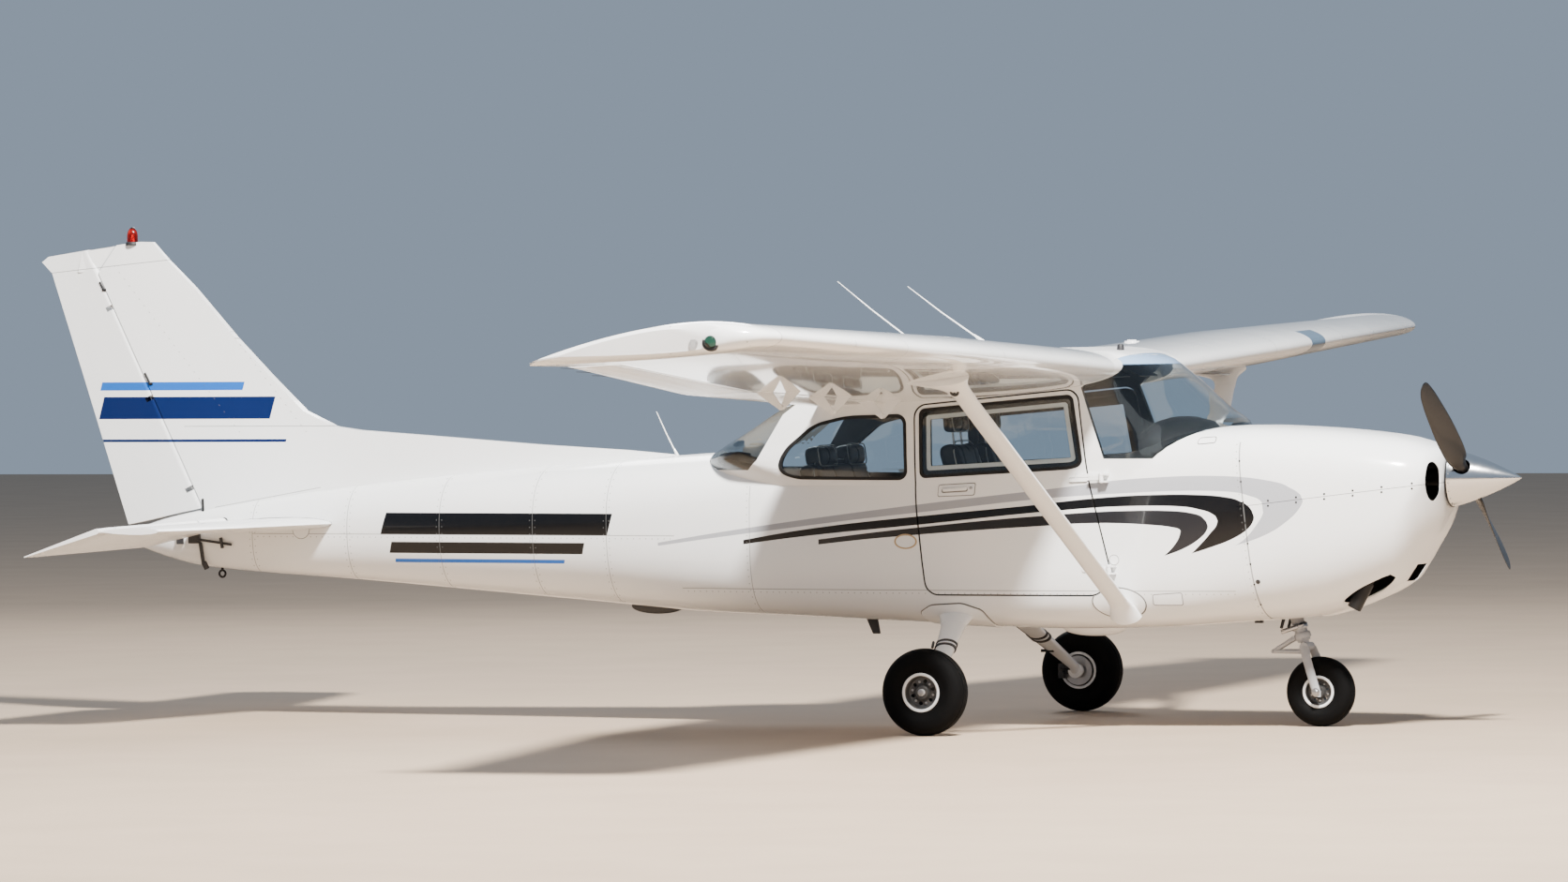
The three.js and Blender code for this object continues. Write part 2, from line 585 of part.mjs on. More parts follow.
function addNose(add) {
  const outside = bodySolid(0, 2600, 3765);
  const inside = bodySolid(SKIN, 2500, 3757);
  const behind = slab([[0, 300], [firewallSpace.low[0] + FIT, 300], [firewallSpace.high[0] + FIT, 1900], [0, 1900]], [-900, 900]);
  const inlet = (side) => {
    const made = new THREE.CylinderGeometry(1, 1, 300, 16).rotateZ(PI / 2).scale(1, 72, 98);
    return solid(made.translate(3760, 268 * side, 1266));
  };
  const chinIntake = box([3450, 3800], [-95, 95], [750, 840]);
  const shaftHole = rod([3600, 0, SPINNER.z], [3900, 0, SPINNER.z], 70, 70, 20);
  const pipeNotch = rod([3480, -236, 820], [3260, -262, 520], 72, 72, 14);
  const outlet = box([2800, 3120], [-150, 150], [400, 640]);
  const cowl = outside.subtract(inside).subtract(behind)
    .subtract(inlet(1)).subtract(inlet(-1)).subtract(chinIntake).subtract(shaftHole)
    .subtract(pipeNotch).subtract(outlet);
  const { rear, front } = COWL_SPLIT;
  const above = (gap) => slab([[rear[0], rear[1] + gap], [front[0], front[1] + gap], [front[0], 2000], [rear[0], 2000]], [-900, 900]);
  add("cowl_upper", cowl.intersect(above(FIT)), "white");
  add("cowl_lower", cowl.subtract(above(0)), "white");

  const { front: engineFront, half, low, high } = ENGINE;
  const block = box([FIREWALL.high[0] - 100, engineFront], [-half, half], [low, high]);
  add("engine_block", block.subtract(behind), "steel");
  const exhaust = union(
    rod([3440, -240, low - FIT], [3440, -240, low - 34], 30),
    rod([3440, -240, low - 30], [3385, -248, 740], 30),
    rod([3390, -247, 752], [3282, -262, 560], 30),
  );
  add("exhaust_pipe", exhaust, "steel");

  addPropeller(add);
}

// Blade sections by their distance out: chord, thickness and twist from the disc's plane. The shank is round.
const BLADE = [
  // out, chord, thick, twist
  [20, 66, 66, 0],
  [118, 66, 62, 0],
  [190, 104, 42, 48],
  [300, 128, 30, 38],
  [520, 142, 21, 26],
  [760, 128, 14, 18],
  [900, 96, 9, 15],
  [952, 40, 6, 14],
];

function bladeRing([out, chord, thick, twist]) {
  return Array.from({ length: 12 }, (_, i) => {
    const angle = (i * PI) / 6;
    const [across, through] = [(chord / 2) * cos(angle), (thick / 2) * sin(angle)];
    const turn = (twist * PI) / 180;
    const x = PROPELLER.x + through * cos(turn) + across * sin(turn);
    return new THREE.Vector3(x, across * cos(turn) - through * sin(turn), out);
  });
}

function addPropeller(add) {
  const { tip, base, z, radius } = SPINNER;
  const length = tip - base;
  const cone = (inset, steps) => turned([[0, 0], ...Array.from({ length: steps + 1 }, (_, i) => {
    const u = i / steps;
    return [(radius - inset) * (1 - u ** 1.9) ** 0.75, (length - inset) * u];
  })], 24);
  const alongX = (made, x) => made.rotate([0, 90, 0]).translate([x, 0, z]);
  const turn = (made, by) => made.rotate([by, 0, 0]).translate([0, 0, z]);
  const { shank, hub } = PROPELLER;
  const port = rod([PROPELLER.x, 0, 0], [PROPELLER.x, 0, 300], shank + 12, shank + 12, 12);
  const spinner = alongX(cone(0, 8), base).subtract(alongX(cone(6, 5), base + 6))
    .subtract(turn(port, PROPELLER.turn)).subtract(turn(port, PROPELLER.turn + 180))
    .subtract(rod([base - 20, 0, z], [base + 40, 0, z], hub + FIT, hub + FIT, 16));
  add("spinner", spinner, "polished");

  const blade = loft(BLADE.map(bladeRing));
  const hubSolid = rod([ENGINE.front + FIT, 0, z], [PROPELLER.x + 50, 0, z], hub, hub, 16);
  add("propeller", union(turn(blade, PROPELLER.turn), turn(blade, PROPELLER.turn + 180), hubSolid), "black");
}

// Hangs a moving surface on its carrier: brackets reach back from the carrier to the pivot line, each in a slot
// of the surface's nose, and a pin through each goes a little way into the surface on either side.
function hang({ surface, carrier, from, to, stations, nose, forward }) {
  const [a, b] = [new THREE.Vector3(...from), new THREE.Vector3(...to)];
  const along = b.clone().sub(a).normalize();
  for (const t of stations) {
    const centre = a.clone().lerp(b, t);
    const at = (by) => centre.clone().addScaledVector(along, by).toArray();
    const radius = nose(t);
    const { radius: pin, bore, sides, reach, slot } = PIN;
    const ahead = new THREE.Vector3(...forward).addScaledVector(along, -along.dot(new THREE.Vector3(...forward)));
    const root = centre.clone().addScaledVector(ahead.normalize(), radius + 2.5 * PANEL_GAP);
    surface = surface
      .subtract(rod(at(-slot), at(slot), radius + PANEL_GAP, radius + PANEL_GAP, 10))
      .subtract(rod(at(-slot - reach), at(slot + reach), bore, bore, sides));
    carrier = union(
      carrier,
      rod(at(1 - slot - reach), at(slot + reach - 1), pin, pin, sides),
      rod(centre.toArray(), root.toArray(), pin, pin + 2, 6),
    );
  }
  return { surface, carrier };
}

function addWing(addPair) {
  const whole = mirrored(loft(WING.map(wingRing)));
  const cutFor = ({ from, to, ahead: u }, gap, ends) => mirrored(behindPivot(from, to, u, gap, ends));
  const flapCut = cutFor(FLAP, PANEL_GAP, 2 * PANEL_GAP);
  const aileronCut = cutFor(AILERON, PANEL_GAP, 2 * PANEL_GAP);
  const ends = ({ from, to, ahead: u }) => [wingPoint(from, u), wingPoint(to, u)];
  const [inner, outer] = ends(AILERON);
  const aileron = hang({
    surface: whole.intersect(cutFor(AILERON, 0, 0)),
    carrier: whole.subtract(flapCut).subtract(aileronCut),
    from: [inner.x, -inner.y, inner.z],
    to: [outer.x, -outer.y, outer.z],
    stations: [0.08, 0.5, 0.92],
    nose: (t) => inner.half + (outer.half - inner.half) * t,
    forward: [1, 0, 0.1],
  });
  addPair("aileron", aileron.surface, "white");
  const flap = hangFlap(whole.intersect(cutFor(FLAP, 0, 0)), aileron.carrier, ends(FLAP));
  addPair("flap", flap.surface, "white");
  addPair("wing", flap.carrier, "white");

  const { low, high, chord, thick } = STRUT;
  const strutRing = ([x, y, z], scale) => Array.from({ length: 12 }, (_, i) => {
    const angle = (i * PI) / 6;
    return new THREE.Vector3(x + (chord / 2) * scale * cos(angle), -y, z + (thick / 2) * scale * sin(angle));
  });
  const at = (t) => between(low, high, t);
  const strut = loft([strutRing(at(0), 1.15), strutRing(at(0.06), 1), strutRing(at(0.94), 1), strutRing(at(1), 1.1)]);
  const trimmed = strut.subtract(mirrored(loft(WING.map(wingRing)).translate([0, 0, -FIT])));
  const body = bodySolid(-FIT, 1500, 2700);
  addPair("strut", trimmed, "white", (made) => made.subtract(body));
}

// A flap swings on a line ahead of and below its nose: a plate and boss under the wing hold a pin for the boss
// and plate under the flap.
function hangFlap(surface, carrier, [inner, outer]) {
  const pivotAt = (t) => {
    const [x, y, z, half] = ["x", "y", "z", "half"].map((k) => inner[k] + (outer[k] - inner[k]) * t);
    return { pivot: new THREE.Vector3(x + half, -y, z - half - FLAP.drop), skin: z - half };
  };
  const along = pivotAt(1).pivot.sub(pivotAt(0).pivot).normalize();
  for (const t of FLAP.brackets) {
    const { pivot, skin } = pivotAt(t);
    const bar = (from, to, radius) => rod(
      pivot.clone().addScaledVector(along, from).toArray(), pivot.clone().addScaledVector(along, to).toArray(), radius, radius, PIN.sides);
    const plate = (outline, y) => slab(outline.map(([dx, z]) => [pivot.x + dx, z]), y.map((v) => pivot.y + v), 6);
    const underWing = plate([[130, skin + 30], [15, skin + 30], [-12, pivot.z], [14, pivot.z - 10]], [6, 14]);
    const underFlap = plate([[-60, skin + 26], [-190, skin + 8], [-8, pivot.z - 14], [8, pivot.z + 10]], [-14, -6]);
    carrier = union(carrier, underWing, bar(-14, -FIT / 2, 17), bar(-14, 12, PIN.radius));
    surface = union(surface, underFlap, bar(FIT / 2, 14, 17)).subtract(bar(-2, 20, PIN.bore));
  }
  return { surface, carrier };
}

// A flat surface of elliptic section across Y: rows of y, front, rear and thickness at one height.
function planeRing(y, front, rear, thick, z) {
  return Array.from({ length: 16 }, (_, i) => {
    const angle = (i * PI) / 8;
    const x = (front + rear) / 2 + ((front - rear) / 2) * cos(angle);
    return new THREE.Vector3(x, y, z + (thick / 2) * sin(angle) * (1 + 0.25 * cos(angle)));
  });
}

function addTail(add) {
  const { hingeX, hingeZ, droop } = TAIL;
  const rows = [...STABILISER.slice(1).reverse().map(([y, ...rest]) => [-y, ...rest]), ...STABILISER];
  const stabiliser = loft(rows.map(([y, front, rear, thick]) => planeRing(y, front, rear - 20, thick, hingeZ)));
  const hingeRoomFor = (gap) => loft([-1800, -TAIL.rootY + 20, TAIL.rootY - 20, 1800].map((y) => {
    const radius = 29 - (12 * (abs(y) - 132)) / 1468 + gap;
    return Array.from({ length: 16 }, (_, i) => {
      const angle = (i * PI) / 8;
      return new THREE.Vector3(hingeX + radius * cos(angle), y, hingeZ + radius * sin(angle));
    });
  }));
  const behind = box([hingeX - 200, hingeX], [-1800, 1800], [hingeZ - 100, hingeZ + 100]);
  const hollow = loft(rows.map(([y, front, rear, thick]) => planeRing(y * 0.99, front - 3 * TAIL.skin, rear, thick - 2 * TAIL.skin, hingeZ)))
    .subtract(hingeRoomFor(PANEL_GAP + TAIL.skin))
    .subtract(box([hingeX - 200, hingeX + TAIL.skin], [-1800, 1800], [hingeZ - 100, hingeZ + 100]));
  const stab = stabiliser.subtract(hingeRoomFor(PANEL_GAP)).subtract(behind).subtract(hollow)
    .subtract(box(TAIL.opening, [-50, 50], [hingeZ - 60, hingeZ]));

  // The elevator's section: a round nose about the pivot and a flat wedge back from it, drooped at rest.
  const elevatorRing = (y, chord, radius) => {
    const nose = Array.from({ length: 9 }, (_, i) => {
      const angle = PI / 2 - (i * PI) / 8;
      return [radius * cos(angle), radius * sin(angle)];
    });
    const outline = [...nose, [-chord, -2.5], [-chord, 2.5]];
    return outline.map(([x, z]) => new THREE.Vector3(
      hingeX + x * cos(droop) - z * sin(droop),
      y,
      hingeZ + x * sin(droop) + z * cos(droop),
    ));
  };
  const half = loft(ELEVATOR.map(([y, chord, radius]) => elevatorRing(-y, chord, radius)));
  const tube = rod([hingeX, -TAIL.rootY - 40, hingeZ], [hingeX, TAIL.rootY + 40, hingeZ], 19);
  const elevator = hang({
    surface: union(half, mirrored(half), tube),
    carrier: stab,
    from: [hingeX, -TAIL.tipY, hingeZ],
    to: [hingeX, TAIL.tipY, hingeZ],
    stations: [0.06, 0.36, 0.64, 0.94],
    nose: (t) => 29 - 12 * Math.min(1, abs(2 * t - 1)),
    forward: [1, 0, 0],
  });
  add("stabiliser", elevator.carrier, "white");
  add("elevator", elevator.surface, "white");

  const cone = bodySolid(0, -3590, CABIN_END - FIT);
  const coneInside = bodySolid(SKIN, -3500, CABIN_END - FIT - SKIN);
  const slotRoom = loft(rows.map(([y, front, rear, thick]) => planeRing(y, front + FIT, rear - 20 - FIT, thick + 2 * FIT, hingeZ)));
  const tubeRoom = rod([hingeX, -300, hingeZ], [hingeX, 300, hingeZ], 30, 30, 14);
  add("tail_cone", cone.subtract(coneInside).subtract(slotRoom).subtract(tubeRoom), "white");

  addFin(add, cone);
}

// The fin's half thickness, from a thick foot to a thin top and from the nose to the pivot.
function addFin(add, cone) {
  const { low, high } = RUDDER_AXIS;
  const span = high[1] - low[1];
  const axisX = (z) => low[0] + ((high[0] - low[0]) * (z - low[1])) / span;
  const halfAt = (z) => FIN_HALF.low + ((FIN_HALF.high - FIN_HALF.low) * (z - low[1])) / span;
  // Level sections from below the spine to the tip; the outline slab trims them.
  const finRing = (z, skin = 0) => {
    const [rear, half] = [axisX(z), halfAt(z)];
    const front = rear + (z < 1500 ? 2900 : 2900 - ((z - 1500) / 1060) * 2150);
    const shape = [[0, 1], [0.16, 1], [0.45, 0.86], [0.75, 0.6], [0.93, 0.35], [1, 0.12]];
    const side = shape.map(([u, w]) => [rear + (front - rear) * u, Math.max(half * w - skin, 0.5)]);
    const other = side.slice().reverse().map(([x, y]) => [x, -y]);
    return [...side, ...other].map(([x, y]) => new THREE.Vector3(x, y, z));
  };
  const foot = 1060;
  const tall = [foot, 1500, 2560].map((z) => finRing(z));
  const outline = [...FIN_OUTLINE, [-3805, 2400], [-3805, 2330], [low[0], low[1]], [low[0], foot + 2], [-380, foot + 2]];
  const finSlab = slab(outline, [-200, 200]);
  const axisRoom = (gap) => {
    const [a, b] = [[low[0] + 60, low[1] - 125], [high[0] - 115, high[1] + 240]];
    return rod([a[0], 0, a[1]], [b[0], 0, b[1]], halfAt(a[1]) + gap, halfAt(b[1]) + gap, 20);
  };
  const { skin } = TAIL;
  const inner = [...FIN_OUTLINE.slice(0, -1), [-3650, 2540], [-3700, 2350], [low[0], low[1]], [low[0], foot - 5], [-380, foot - 5]];
  const finRoom = loft([foot - 10, 1500, 2560].map((z) => finRing(z, skin)))
    .intersect(slab(inner.map(([x, z]) => [x, z - (z > foot ? 2 * skin : 0)]), [-200, 200]))
    .subtract(axisRoom(PANEL_GAP + 2 * skin));
  const finBody = loft(tall).intersect(finSlab).subtract(finRoom);
  const aftOfAxis = slab([[low[0] + 100, low[1] - 208], [high[0] - 240, high[1] + 498], [-5000, 2900], [-5000, 700]], [-300, 300]);
  const fin = finBody.subtract(axisRoom(PANEL_GAP)).subtract(aftOfAxis).subtract(bodySolidGrown());

  const rudderRing = (z) => {
    const [front, half] = [axisX(z), halfAt(z)];
    const rear = front - 700;
    return [[front, half], [rear, half * 0.12], [rear, -half * 0.12], [front, -half]]
      .map(([x, y]) => new THREE.Vector3(x, y, z));
  };
  const wedge = loft([1000, 2600].map(rudderRing));
  const rudderSlab = slab([[low[0] + 60, low[1]], [high[0] + 60, high[1]], [-3722, 2330], ...RUDDER_OUTLINE, [-3300, 1100]], [-200, 200]);
  const rudderSolid = union(wedge, axisRoom(0)).intersect(rudderSlab).subtract(bodySolid(-2 * PANEL_GAP, -3590, CABIN_END - 50));
  const rudder = hang({
    surface: rudderSolid,
    carrier: fin,
    from: [low[0], 0, low[1]],
    to: [high[0], 0, high[1]],
    stations: [0.1, 0.5, 0.9],
    nose: (t) => FIN_HALF.low + (FIN_HALF.high - FIN_HALF.low) * t,
    forward: [0.9, 0, 0.43],
  });
  add("rudder", rudder.surface, "white");
  add("fin", rudder.carrier, "white");

  const beacon = turned([[0, 0], [34, 0], [34, 35], [30, 75], [14, 97], [0, 101]], 16).translate([-3615, 0, 2540]);
  add("beacon", largest(beacon.subtract(fin.translate([0, 0, FIT]))), "red");
}

function bodySolidGrown() {
  return bodySolid(-FIT, -3590, CABIN_END + 200);
}

const WHEEL_SIDES = 28;

// A wheel's rim and its tyre, turned about Y.
function wheelSolids({ x, radius, width, rim, axle }) {
  const bore = axle + 0.4;
  const place = (made, y) => made.rotate([90, 0, 0]).translate([x, y, radius]);
  const half = width / 2;
  const rimSolid = turned([
    [bore, -half * 0.62], [rim * 0.5, -half * 0.62], [rim - 14, -half * 0.4], [rim, -half * 0.82],
    [rim, half * 0.82], [rim - 14, half * 0.4], [rim * 0.5, half * 0.62], [bore, half * 0.62],
  ], WHEEL_SIDES, true);
  const steps = 7;
  const section = Array.from({ length: steps + 1 }, (_, i) => {
    const angle = -PI / 2 + (i * PI) / steps;
    const middle = rim + (radius - rim) * 0.42;
    return [middle + (radius - middle) * pow(abs(cos(angle)), 0.8) * sign(cos(angle).toFixed(9)), half * squircle(sin(angle), 2.4)];
  });
  const profile = [[rim + FIT, -half * 0.72], ...section, [rim + FIT, half * 0.72]];
  return { rimSolid, tyreSolid: turned(profile, WHEEL_SIDES, true), place };
}

// The main leg's slope, as a unit direction across Y and Z. Its section is flat across the slope.
const LEG_LEAN = { y: 0.91, z: 0.41 };

function addGear(add, addPair) {
  const main = wheelSolids(MAIN_WHEEL);
  addPair("main_wheel", main.place(main.rimSolid, -MAIN_WHEEL.y), "rim");
  addPair("main_tyre", main.place(main.tyreSolid, -MAIN_WHEEL.y), "rubber");
  const { x, y, radius } = MAIN_WHEEL;
  const inner = y - MAIN_WHEEL.width / 2 - 24;
  const leg = union(
    loft([
      [[1230, -372, 600], 76, 34],
      [[x - 6, -inner + 30, radius + 28], 30, 24],
    ].map(([[px, py, pz], a, b]) => Array.from({ length: 14 }, (_, i) => {
      const angle = (i * PI) / 7;
      return new THREE.Vector3(px + a * cos(angle), py - b * LEG_LEAN.z * sin(angle), pz + b * LEG_LEAN.y * sin(angle));
    }))),
    rod([x, -inner - 8, radius], [x, -y - 62, radius], MAIN_WHEEL.axle, MAIN_WHEEL.axle, 16),
    rod([x, -inner + 26, radius], [x, -inner - 8, radius], 40, 40, 16),
    rod([x - 6, -inner + 30, radius + 28], [x, -inner + 8, radius], 26, 26, 12),
  );
  const body = bodySolid(-FIT, 600, 2000);
  addPair("main_leg", leg, "white", (made) => largest(made.subtract(body)));

  const nose = wheelSolids(NOSE_WHEEL);
  add("nose_wheel", nose.place(nose.rimSolid, 0), "rim");
  add("nose_tyre", nose.place(nose.tyreSolid, 0), "rubber");
  const { high, low, radius: legRadius, piston } = NOSE_LEG;
  const bore = piston + 0.7;
  const onAxis = (t) => [high[0] + (low[0] - high[0]) * t, 0, high[1] + (low[1] - high[1]) * t];
  const tube = rod(onAxis(0), onAxis(1), legRadius, legRadius, 18).subtract(rod(onAxis(0.25), onAxis(1.1), bore, bore, 18));
  const bracket = box([2700, 2900], [-40, 40], [720, 780]).subtract(cabinNose());
  add("nose_leg", union(tube, bracket), "steel");
  const axle = [NOSE_WHEEL.x, 0, NOSE_WHEEL.radius];
  const crown = onAxis(1.1);
  const tine = (side) => loft([
    [[crown[0] + 8, 55, crown[2] + 8], 26, 12],
    [[crown[0] + 22, 88, crown[2] - 40], 24, 10],
    [[axle[0], 88, axle[2]], 24, 10],
    [[axle[0] + 8, 88, axle[2] - 24], 16, 9],
  ].map(([[px, py, pz], a, b]) => Array.from({ length: 10 }, (_, i) => {
    const angle = (i * PI) / 5;
    return new THREE.Vector3(px + a * cos(angle), side * (py + b * sin(angle)), pz);
  })));
  const fork = union(
    rod(onAxis(0.45), crown, piston, piston, 18),
    rod([crown[0] + 4, -64, crown[2] + 4], [crown[0] + 4, 64, crown[2] + 4], 24, 24, 14),
    tine(1), tine(-1),
    rod([axle[0], -100, axle[2]], [axle[0], 100, axle[2]], NOSE_WHEEL.axle, NOSE_WHEEL.axle, 16),
  );
  add("nose_fork", fork, "steel");
}

// The front of the cabin with a hair's gap, for what is bolted to the firewall.
function cabinNose() {
  return slab([[0, 300], [firewallSpace.low[0] + FIT, 300], [firewallSpace.high[0] + FIT, 1900], [0, 1900]], [-900, 900]);
}

export default build();
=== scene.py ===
# %% [markdown]
# # A four-seat light aircraft in white paint
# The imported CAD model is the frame: every piece made here sits where the CAD says and moves with its body.
# This lesson dresses that frame. It gives the skins their smooth curves, the cabin its seats, and each
# surface a finish that Blender works out from its place on the aircraft.

# %% Load the frame
import json
import math

import bmesh
import bpy
from mathutils import Matrix, Vector


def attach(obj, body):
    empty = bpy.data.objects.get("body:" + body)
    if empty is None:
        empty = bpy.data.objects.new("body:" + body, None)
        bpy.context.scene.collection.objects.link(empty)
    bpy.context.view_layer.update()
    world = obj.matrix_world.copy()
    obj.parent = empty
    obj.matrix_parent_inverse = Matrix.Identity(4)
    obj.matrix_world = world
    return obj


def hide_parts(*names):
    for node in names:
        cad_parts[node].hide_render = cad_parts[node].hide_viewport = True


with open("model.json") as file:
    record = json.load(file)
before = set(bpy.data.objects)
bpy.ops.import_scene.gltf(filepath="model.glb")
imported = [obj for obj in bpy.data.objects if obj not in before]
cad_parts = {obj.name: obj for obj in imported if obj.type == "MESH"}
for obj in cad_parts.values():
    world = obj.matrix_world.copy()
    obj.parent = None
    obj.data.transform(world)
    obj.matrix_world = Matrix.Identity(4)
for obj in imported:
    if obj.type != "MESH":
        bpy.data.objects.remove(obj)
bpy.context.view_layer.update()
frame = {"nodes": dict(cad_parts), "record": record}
nodes = frame["nodes"]
MM = 0.001  # the tables below are in millimetres, as on a drawing, and Blender works in metres
BOTH_SIDES = (("starboard", -1), ("port", 1))

# %% [markdown]
# ## The camera
# The photograph was taken from far off with a long lens, from just ahead of the starboard side. A camera is
# placed by where it stands and by three turns: round the vertical, up or down, and a slight lean.

# %% Place the camera
PHOTO_WIDTH, PHOTO_HEIGHT = 1672, 941  # pixels
SENSOR, LENS = 36, 186.67
STAND = Vector((14.963, -40.099, 2.171))
YAW, PITCH, LEAN = (math.radians(v) for v in (20.290, -0.935, -0.474))
forward = Vector((-math.sin(YAW) * math.cos(PITCH), math.cos(YAW) * math.cos(PITCH), math.sin(PITCH)))
level = Vector((math.cos(YAW), math.sin(YAW), 0))
above = level.cross(forward)
right = level * math.cos(LEAN) + above * math.sin(LEAN)
up = above * math.cos(LEAN) - level * math.sin(LEAN)
camera = bpy.data.objects.new("camera", bpy.data.cameras.new("camera"))
bpy.context.scene.collection.objects.link(camera)
camera.matrix_world = Matrix.Translation(STAND) @ Matrix((right, up, -forward)).transposed().to_4x4()
camera.data.sensor_width, camera.data.lens = SENSOR, LENS
camera.data.clip_start, camera.data.clip_end = 1, 300
bpy.context.scene.camera = camera
print("camera", [round(v, 2) for v in STAND], "lens", camera.data.lens)

# %% [markdown]
# ## Helpers for making pieces
# A skin is drawn through its cross sections. A circle makes the first section, each extrusion of its edges
# makes the next, and the section's points are then moved to where the section says.


# %% Skins through sections
def new_object(bm, name):
    mesh = bpy.data.meshes.new(name)
    bm.to_mesh(mesh)
    bm.free()
    made = bpy.data.objects.new(name, mesh)
    bpy.context.scene.collection.objects.link(made)
    return made


def loft(rings, capped=True):
    """A skin through rings of equally many points, as a bmesh."""
    bm = bmesh.new()
    ring = bmesh.ops.create_circle(bm, segments=len(rings[0]), radius=1)["verts"]
    edges = first = list(bm.edges)
    for vert, point in zip(ring, rings[0]):
        vert.co = point
    for points in rings[1:]:
        grown = bmesh.ops.extrude_edge_only(bm, edges=edges)["geom"]
        fresh = {g for g in grown if isinstance(g, bmesh.types.BMVert)}
        ring = [next(o for e in v.link_edges if (o := e.other_vert(v)) in fresh) for v in ring]
        edges = [e for v in fresh for e in v.link_edges if e.other_vert(v) in fresh]
        edges = list(dict.fromkeys(edges))
        for vert, point in zip(ring, points):
            vert.co = point
    if capped:
        bmesh.ops.edgeloop_fill(bm, edges=first)
        bmesh.ops.edgeloop_fill(bm, edges=edges)
    bmesh.ops.recalc_face_normals(bm, faces=bm.faces)
    return bm


def slopes(xs, ys):
    """Slopes at the points of a table for a smooth curve that never overshoots them."""
    runs = [(ys[i + 1] - ys[i]) / (xs[i + 1] - xs[i]) for i in range(len(xs) - 1)]
    middle = [
        0 if a * b <= 0 else 2 * a * b / (a + b)
        for a, b in zip(runs, runs[1:])
    ]
    return [runs[0], *middle, runs[-1]]


def smooth_rows(table, places):
    """Rows of a table at other places of its first column, each column a smooth curve."""
    table = sorted(table)
    xs = [row[0] for row in table]
    columns = [[row[k] for row in table] for k in range(1, len(table[0]))]
    bends = [slopes(xs, column) for column in columns]
    rows = []
    for x in places:
        i = max(0, min(len(xs) - 2, sum(x >= v for v in xs) - 1))
        h = xs[i + 1] - xs[i]
        t = (x - xs[i]) / h
        row = [x]
        for ys, m in zip(columns, bends):
            row.append(
                ys[i] * (2 * t**3 - 3 * t**2 + 1) + ys[i + 1] * (3 * t**2 - 2 * t**3)
                + h * m[i] * (t**3 - 2 * t**2 + t) + h * m[i + 1] * (t**3 - t**2)
            )
        rows.append(row)
    return rows


def steps_between(low, high, step):
    count = max(1, round((high - low) / step))
    return [low + (high - low) * i / count for i in range(count + 1)]


# %% [markdown]
# ## Helpers for cutting and for handing a piece over
# Doors and windows are cut out of one skin with booleans, so their edges meet. A boolean keeps each face's
# material number, and that is how an inner wall can be trim while the outer one is paint.


# %% Cut, mark and hand over
def carve(piece, tool, how="DIFFERENCE", keep=False):
    """Cuts a piece with another one, joins them or keeps what they share."""
    cut = piece.modifiers.new("cut", "BOOLEAN")
    cut.object, cut.operation, cut.solver = tool, how, "MANIFOLD"
    bpy.context.view_layer.update()
    graph = bpy.context.evaluated_depsgraph_get()
    mesh = bpy.data.meshes.new_from_object(piece.evaluated_get(graph))
    piece.modifiers.clear()
    old, piece.data = piece.data, mesh
    bpy.data.meshes.remove(old)
    if not keep:
        bpy.data.objects.remove(tool)
    return piece


def copy_of(piece):
    made = bpy.data.objects.new(piece.name + "_copy", piece.data.copy())
    bpy.context.scene.collection.objects.link(made)
    return made


def number_faces(piece, number):
    """Gives all faces of a piece one material number."""
    while len(piece.data.materials) < 4:
        piece.data.materials.append(None)
    for face in piece.data.polygons:
        face.material_index = number
    return piece


def side_span(side, near, far):
    """The stretch of Y between two distances from the middle, on one side."""
    return sorted((side * near, side * far))


def box_outline(back, front, low, high):
    """The corners of an upright rectangle, as places along the body and heights."""
    return [(back, low), (front, low), (front, high), (back, high)]


def from_curve(name, curve):
    """A piece with the mesh of a thick curve."""
    made = bpy.data.objects.new(name, curve)
    bpy.context.scene.collection.objects.link(made)
    bpy.context.view_layer.update()
    mesh = bpy.data.meshes.new_from_object(made.evaluated_get(bpy.context.evaluated_depsgraph_get()))
    bpy.data.objects.remove(made)
    piece = bpy.data.objects.new(name, mesh)
    bpy.context.scene.collection.objects.link(piece)
    return piece


def ball(name, middle, half, steps=40):
    """A ball drawn out or squashed to a half size along each axis."""
    bm = bmesh.new()
    bmesh.ops.create_uvsphere(bm, u_segments=steps, v_segments=steps // 2, radius=1)
    bmesh.ops.scale(bm, vec=[v * MM for v in half], verts=bm.verts)
    bmesh.ops.translate(bm, verts=bm.verts, vec=Vector(middle) * MM)
    return new_object(bm, name)


def hand_over(piece, name, body, materials, replaces=(), sharp=32):
    """Names a finished piece, gives it its materials, and lets it ride on its body."""
    bm = bmesh.new()
    bm.from_mesh(piece.data)
    bmesh.ops.remove_doubles(bm, verts=bm.verts, dist=2e-5)
    bmesh.ops.dissolve_degenerate(bm, edges=bm.edges, dist=1e-5)
    for face in bm.faces:
        face.smooth = True
    for edge in bm.edges:
        edge.smooth = edge.is_manifold and edge.calc_face_angle(0) < math.radians(sharp)
    bm.to_mesh(piece.data)
    bm.free()
    piece.name = piece.data.name = name
    numbers = [min(face.material_index, len(materials) - 1) for face in piece.data.polygons]
    piece.data.materials.clear()
    for material in materials:
        piece.data.materials.append(material)
    piece.data.polygons.foreach_set("material_index", numbers)
    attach(piece, body)
    if replaces:
        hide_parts(*replaces)
    print(name, len(piece.data.polygons), "faces")
    return piece


# %% [markdown]
# ## Finishes
# A finish is a small network of nodes. It reads Object coordinates, which are the place on the aircraft in
# metres, so a stripe that runs from the cowl over the door to the tail needs no image and no unwrapping.


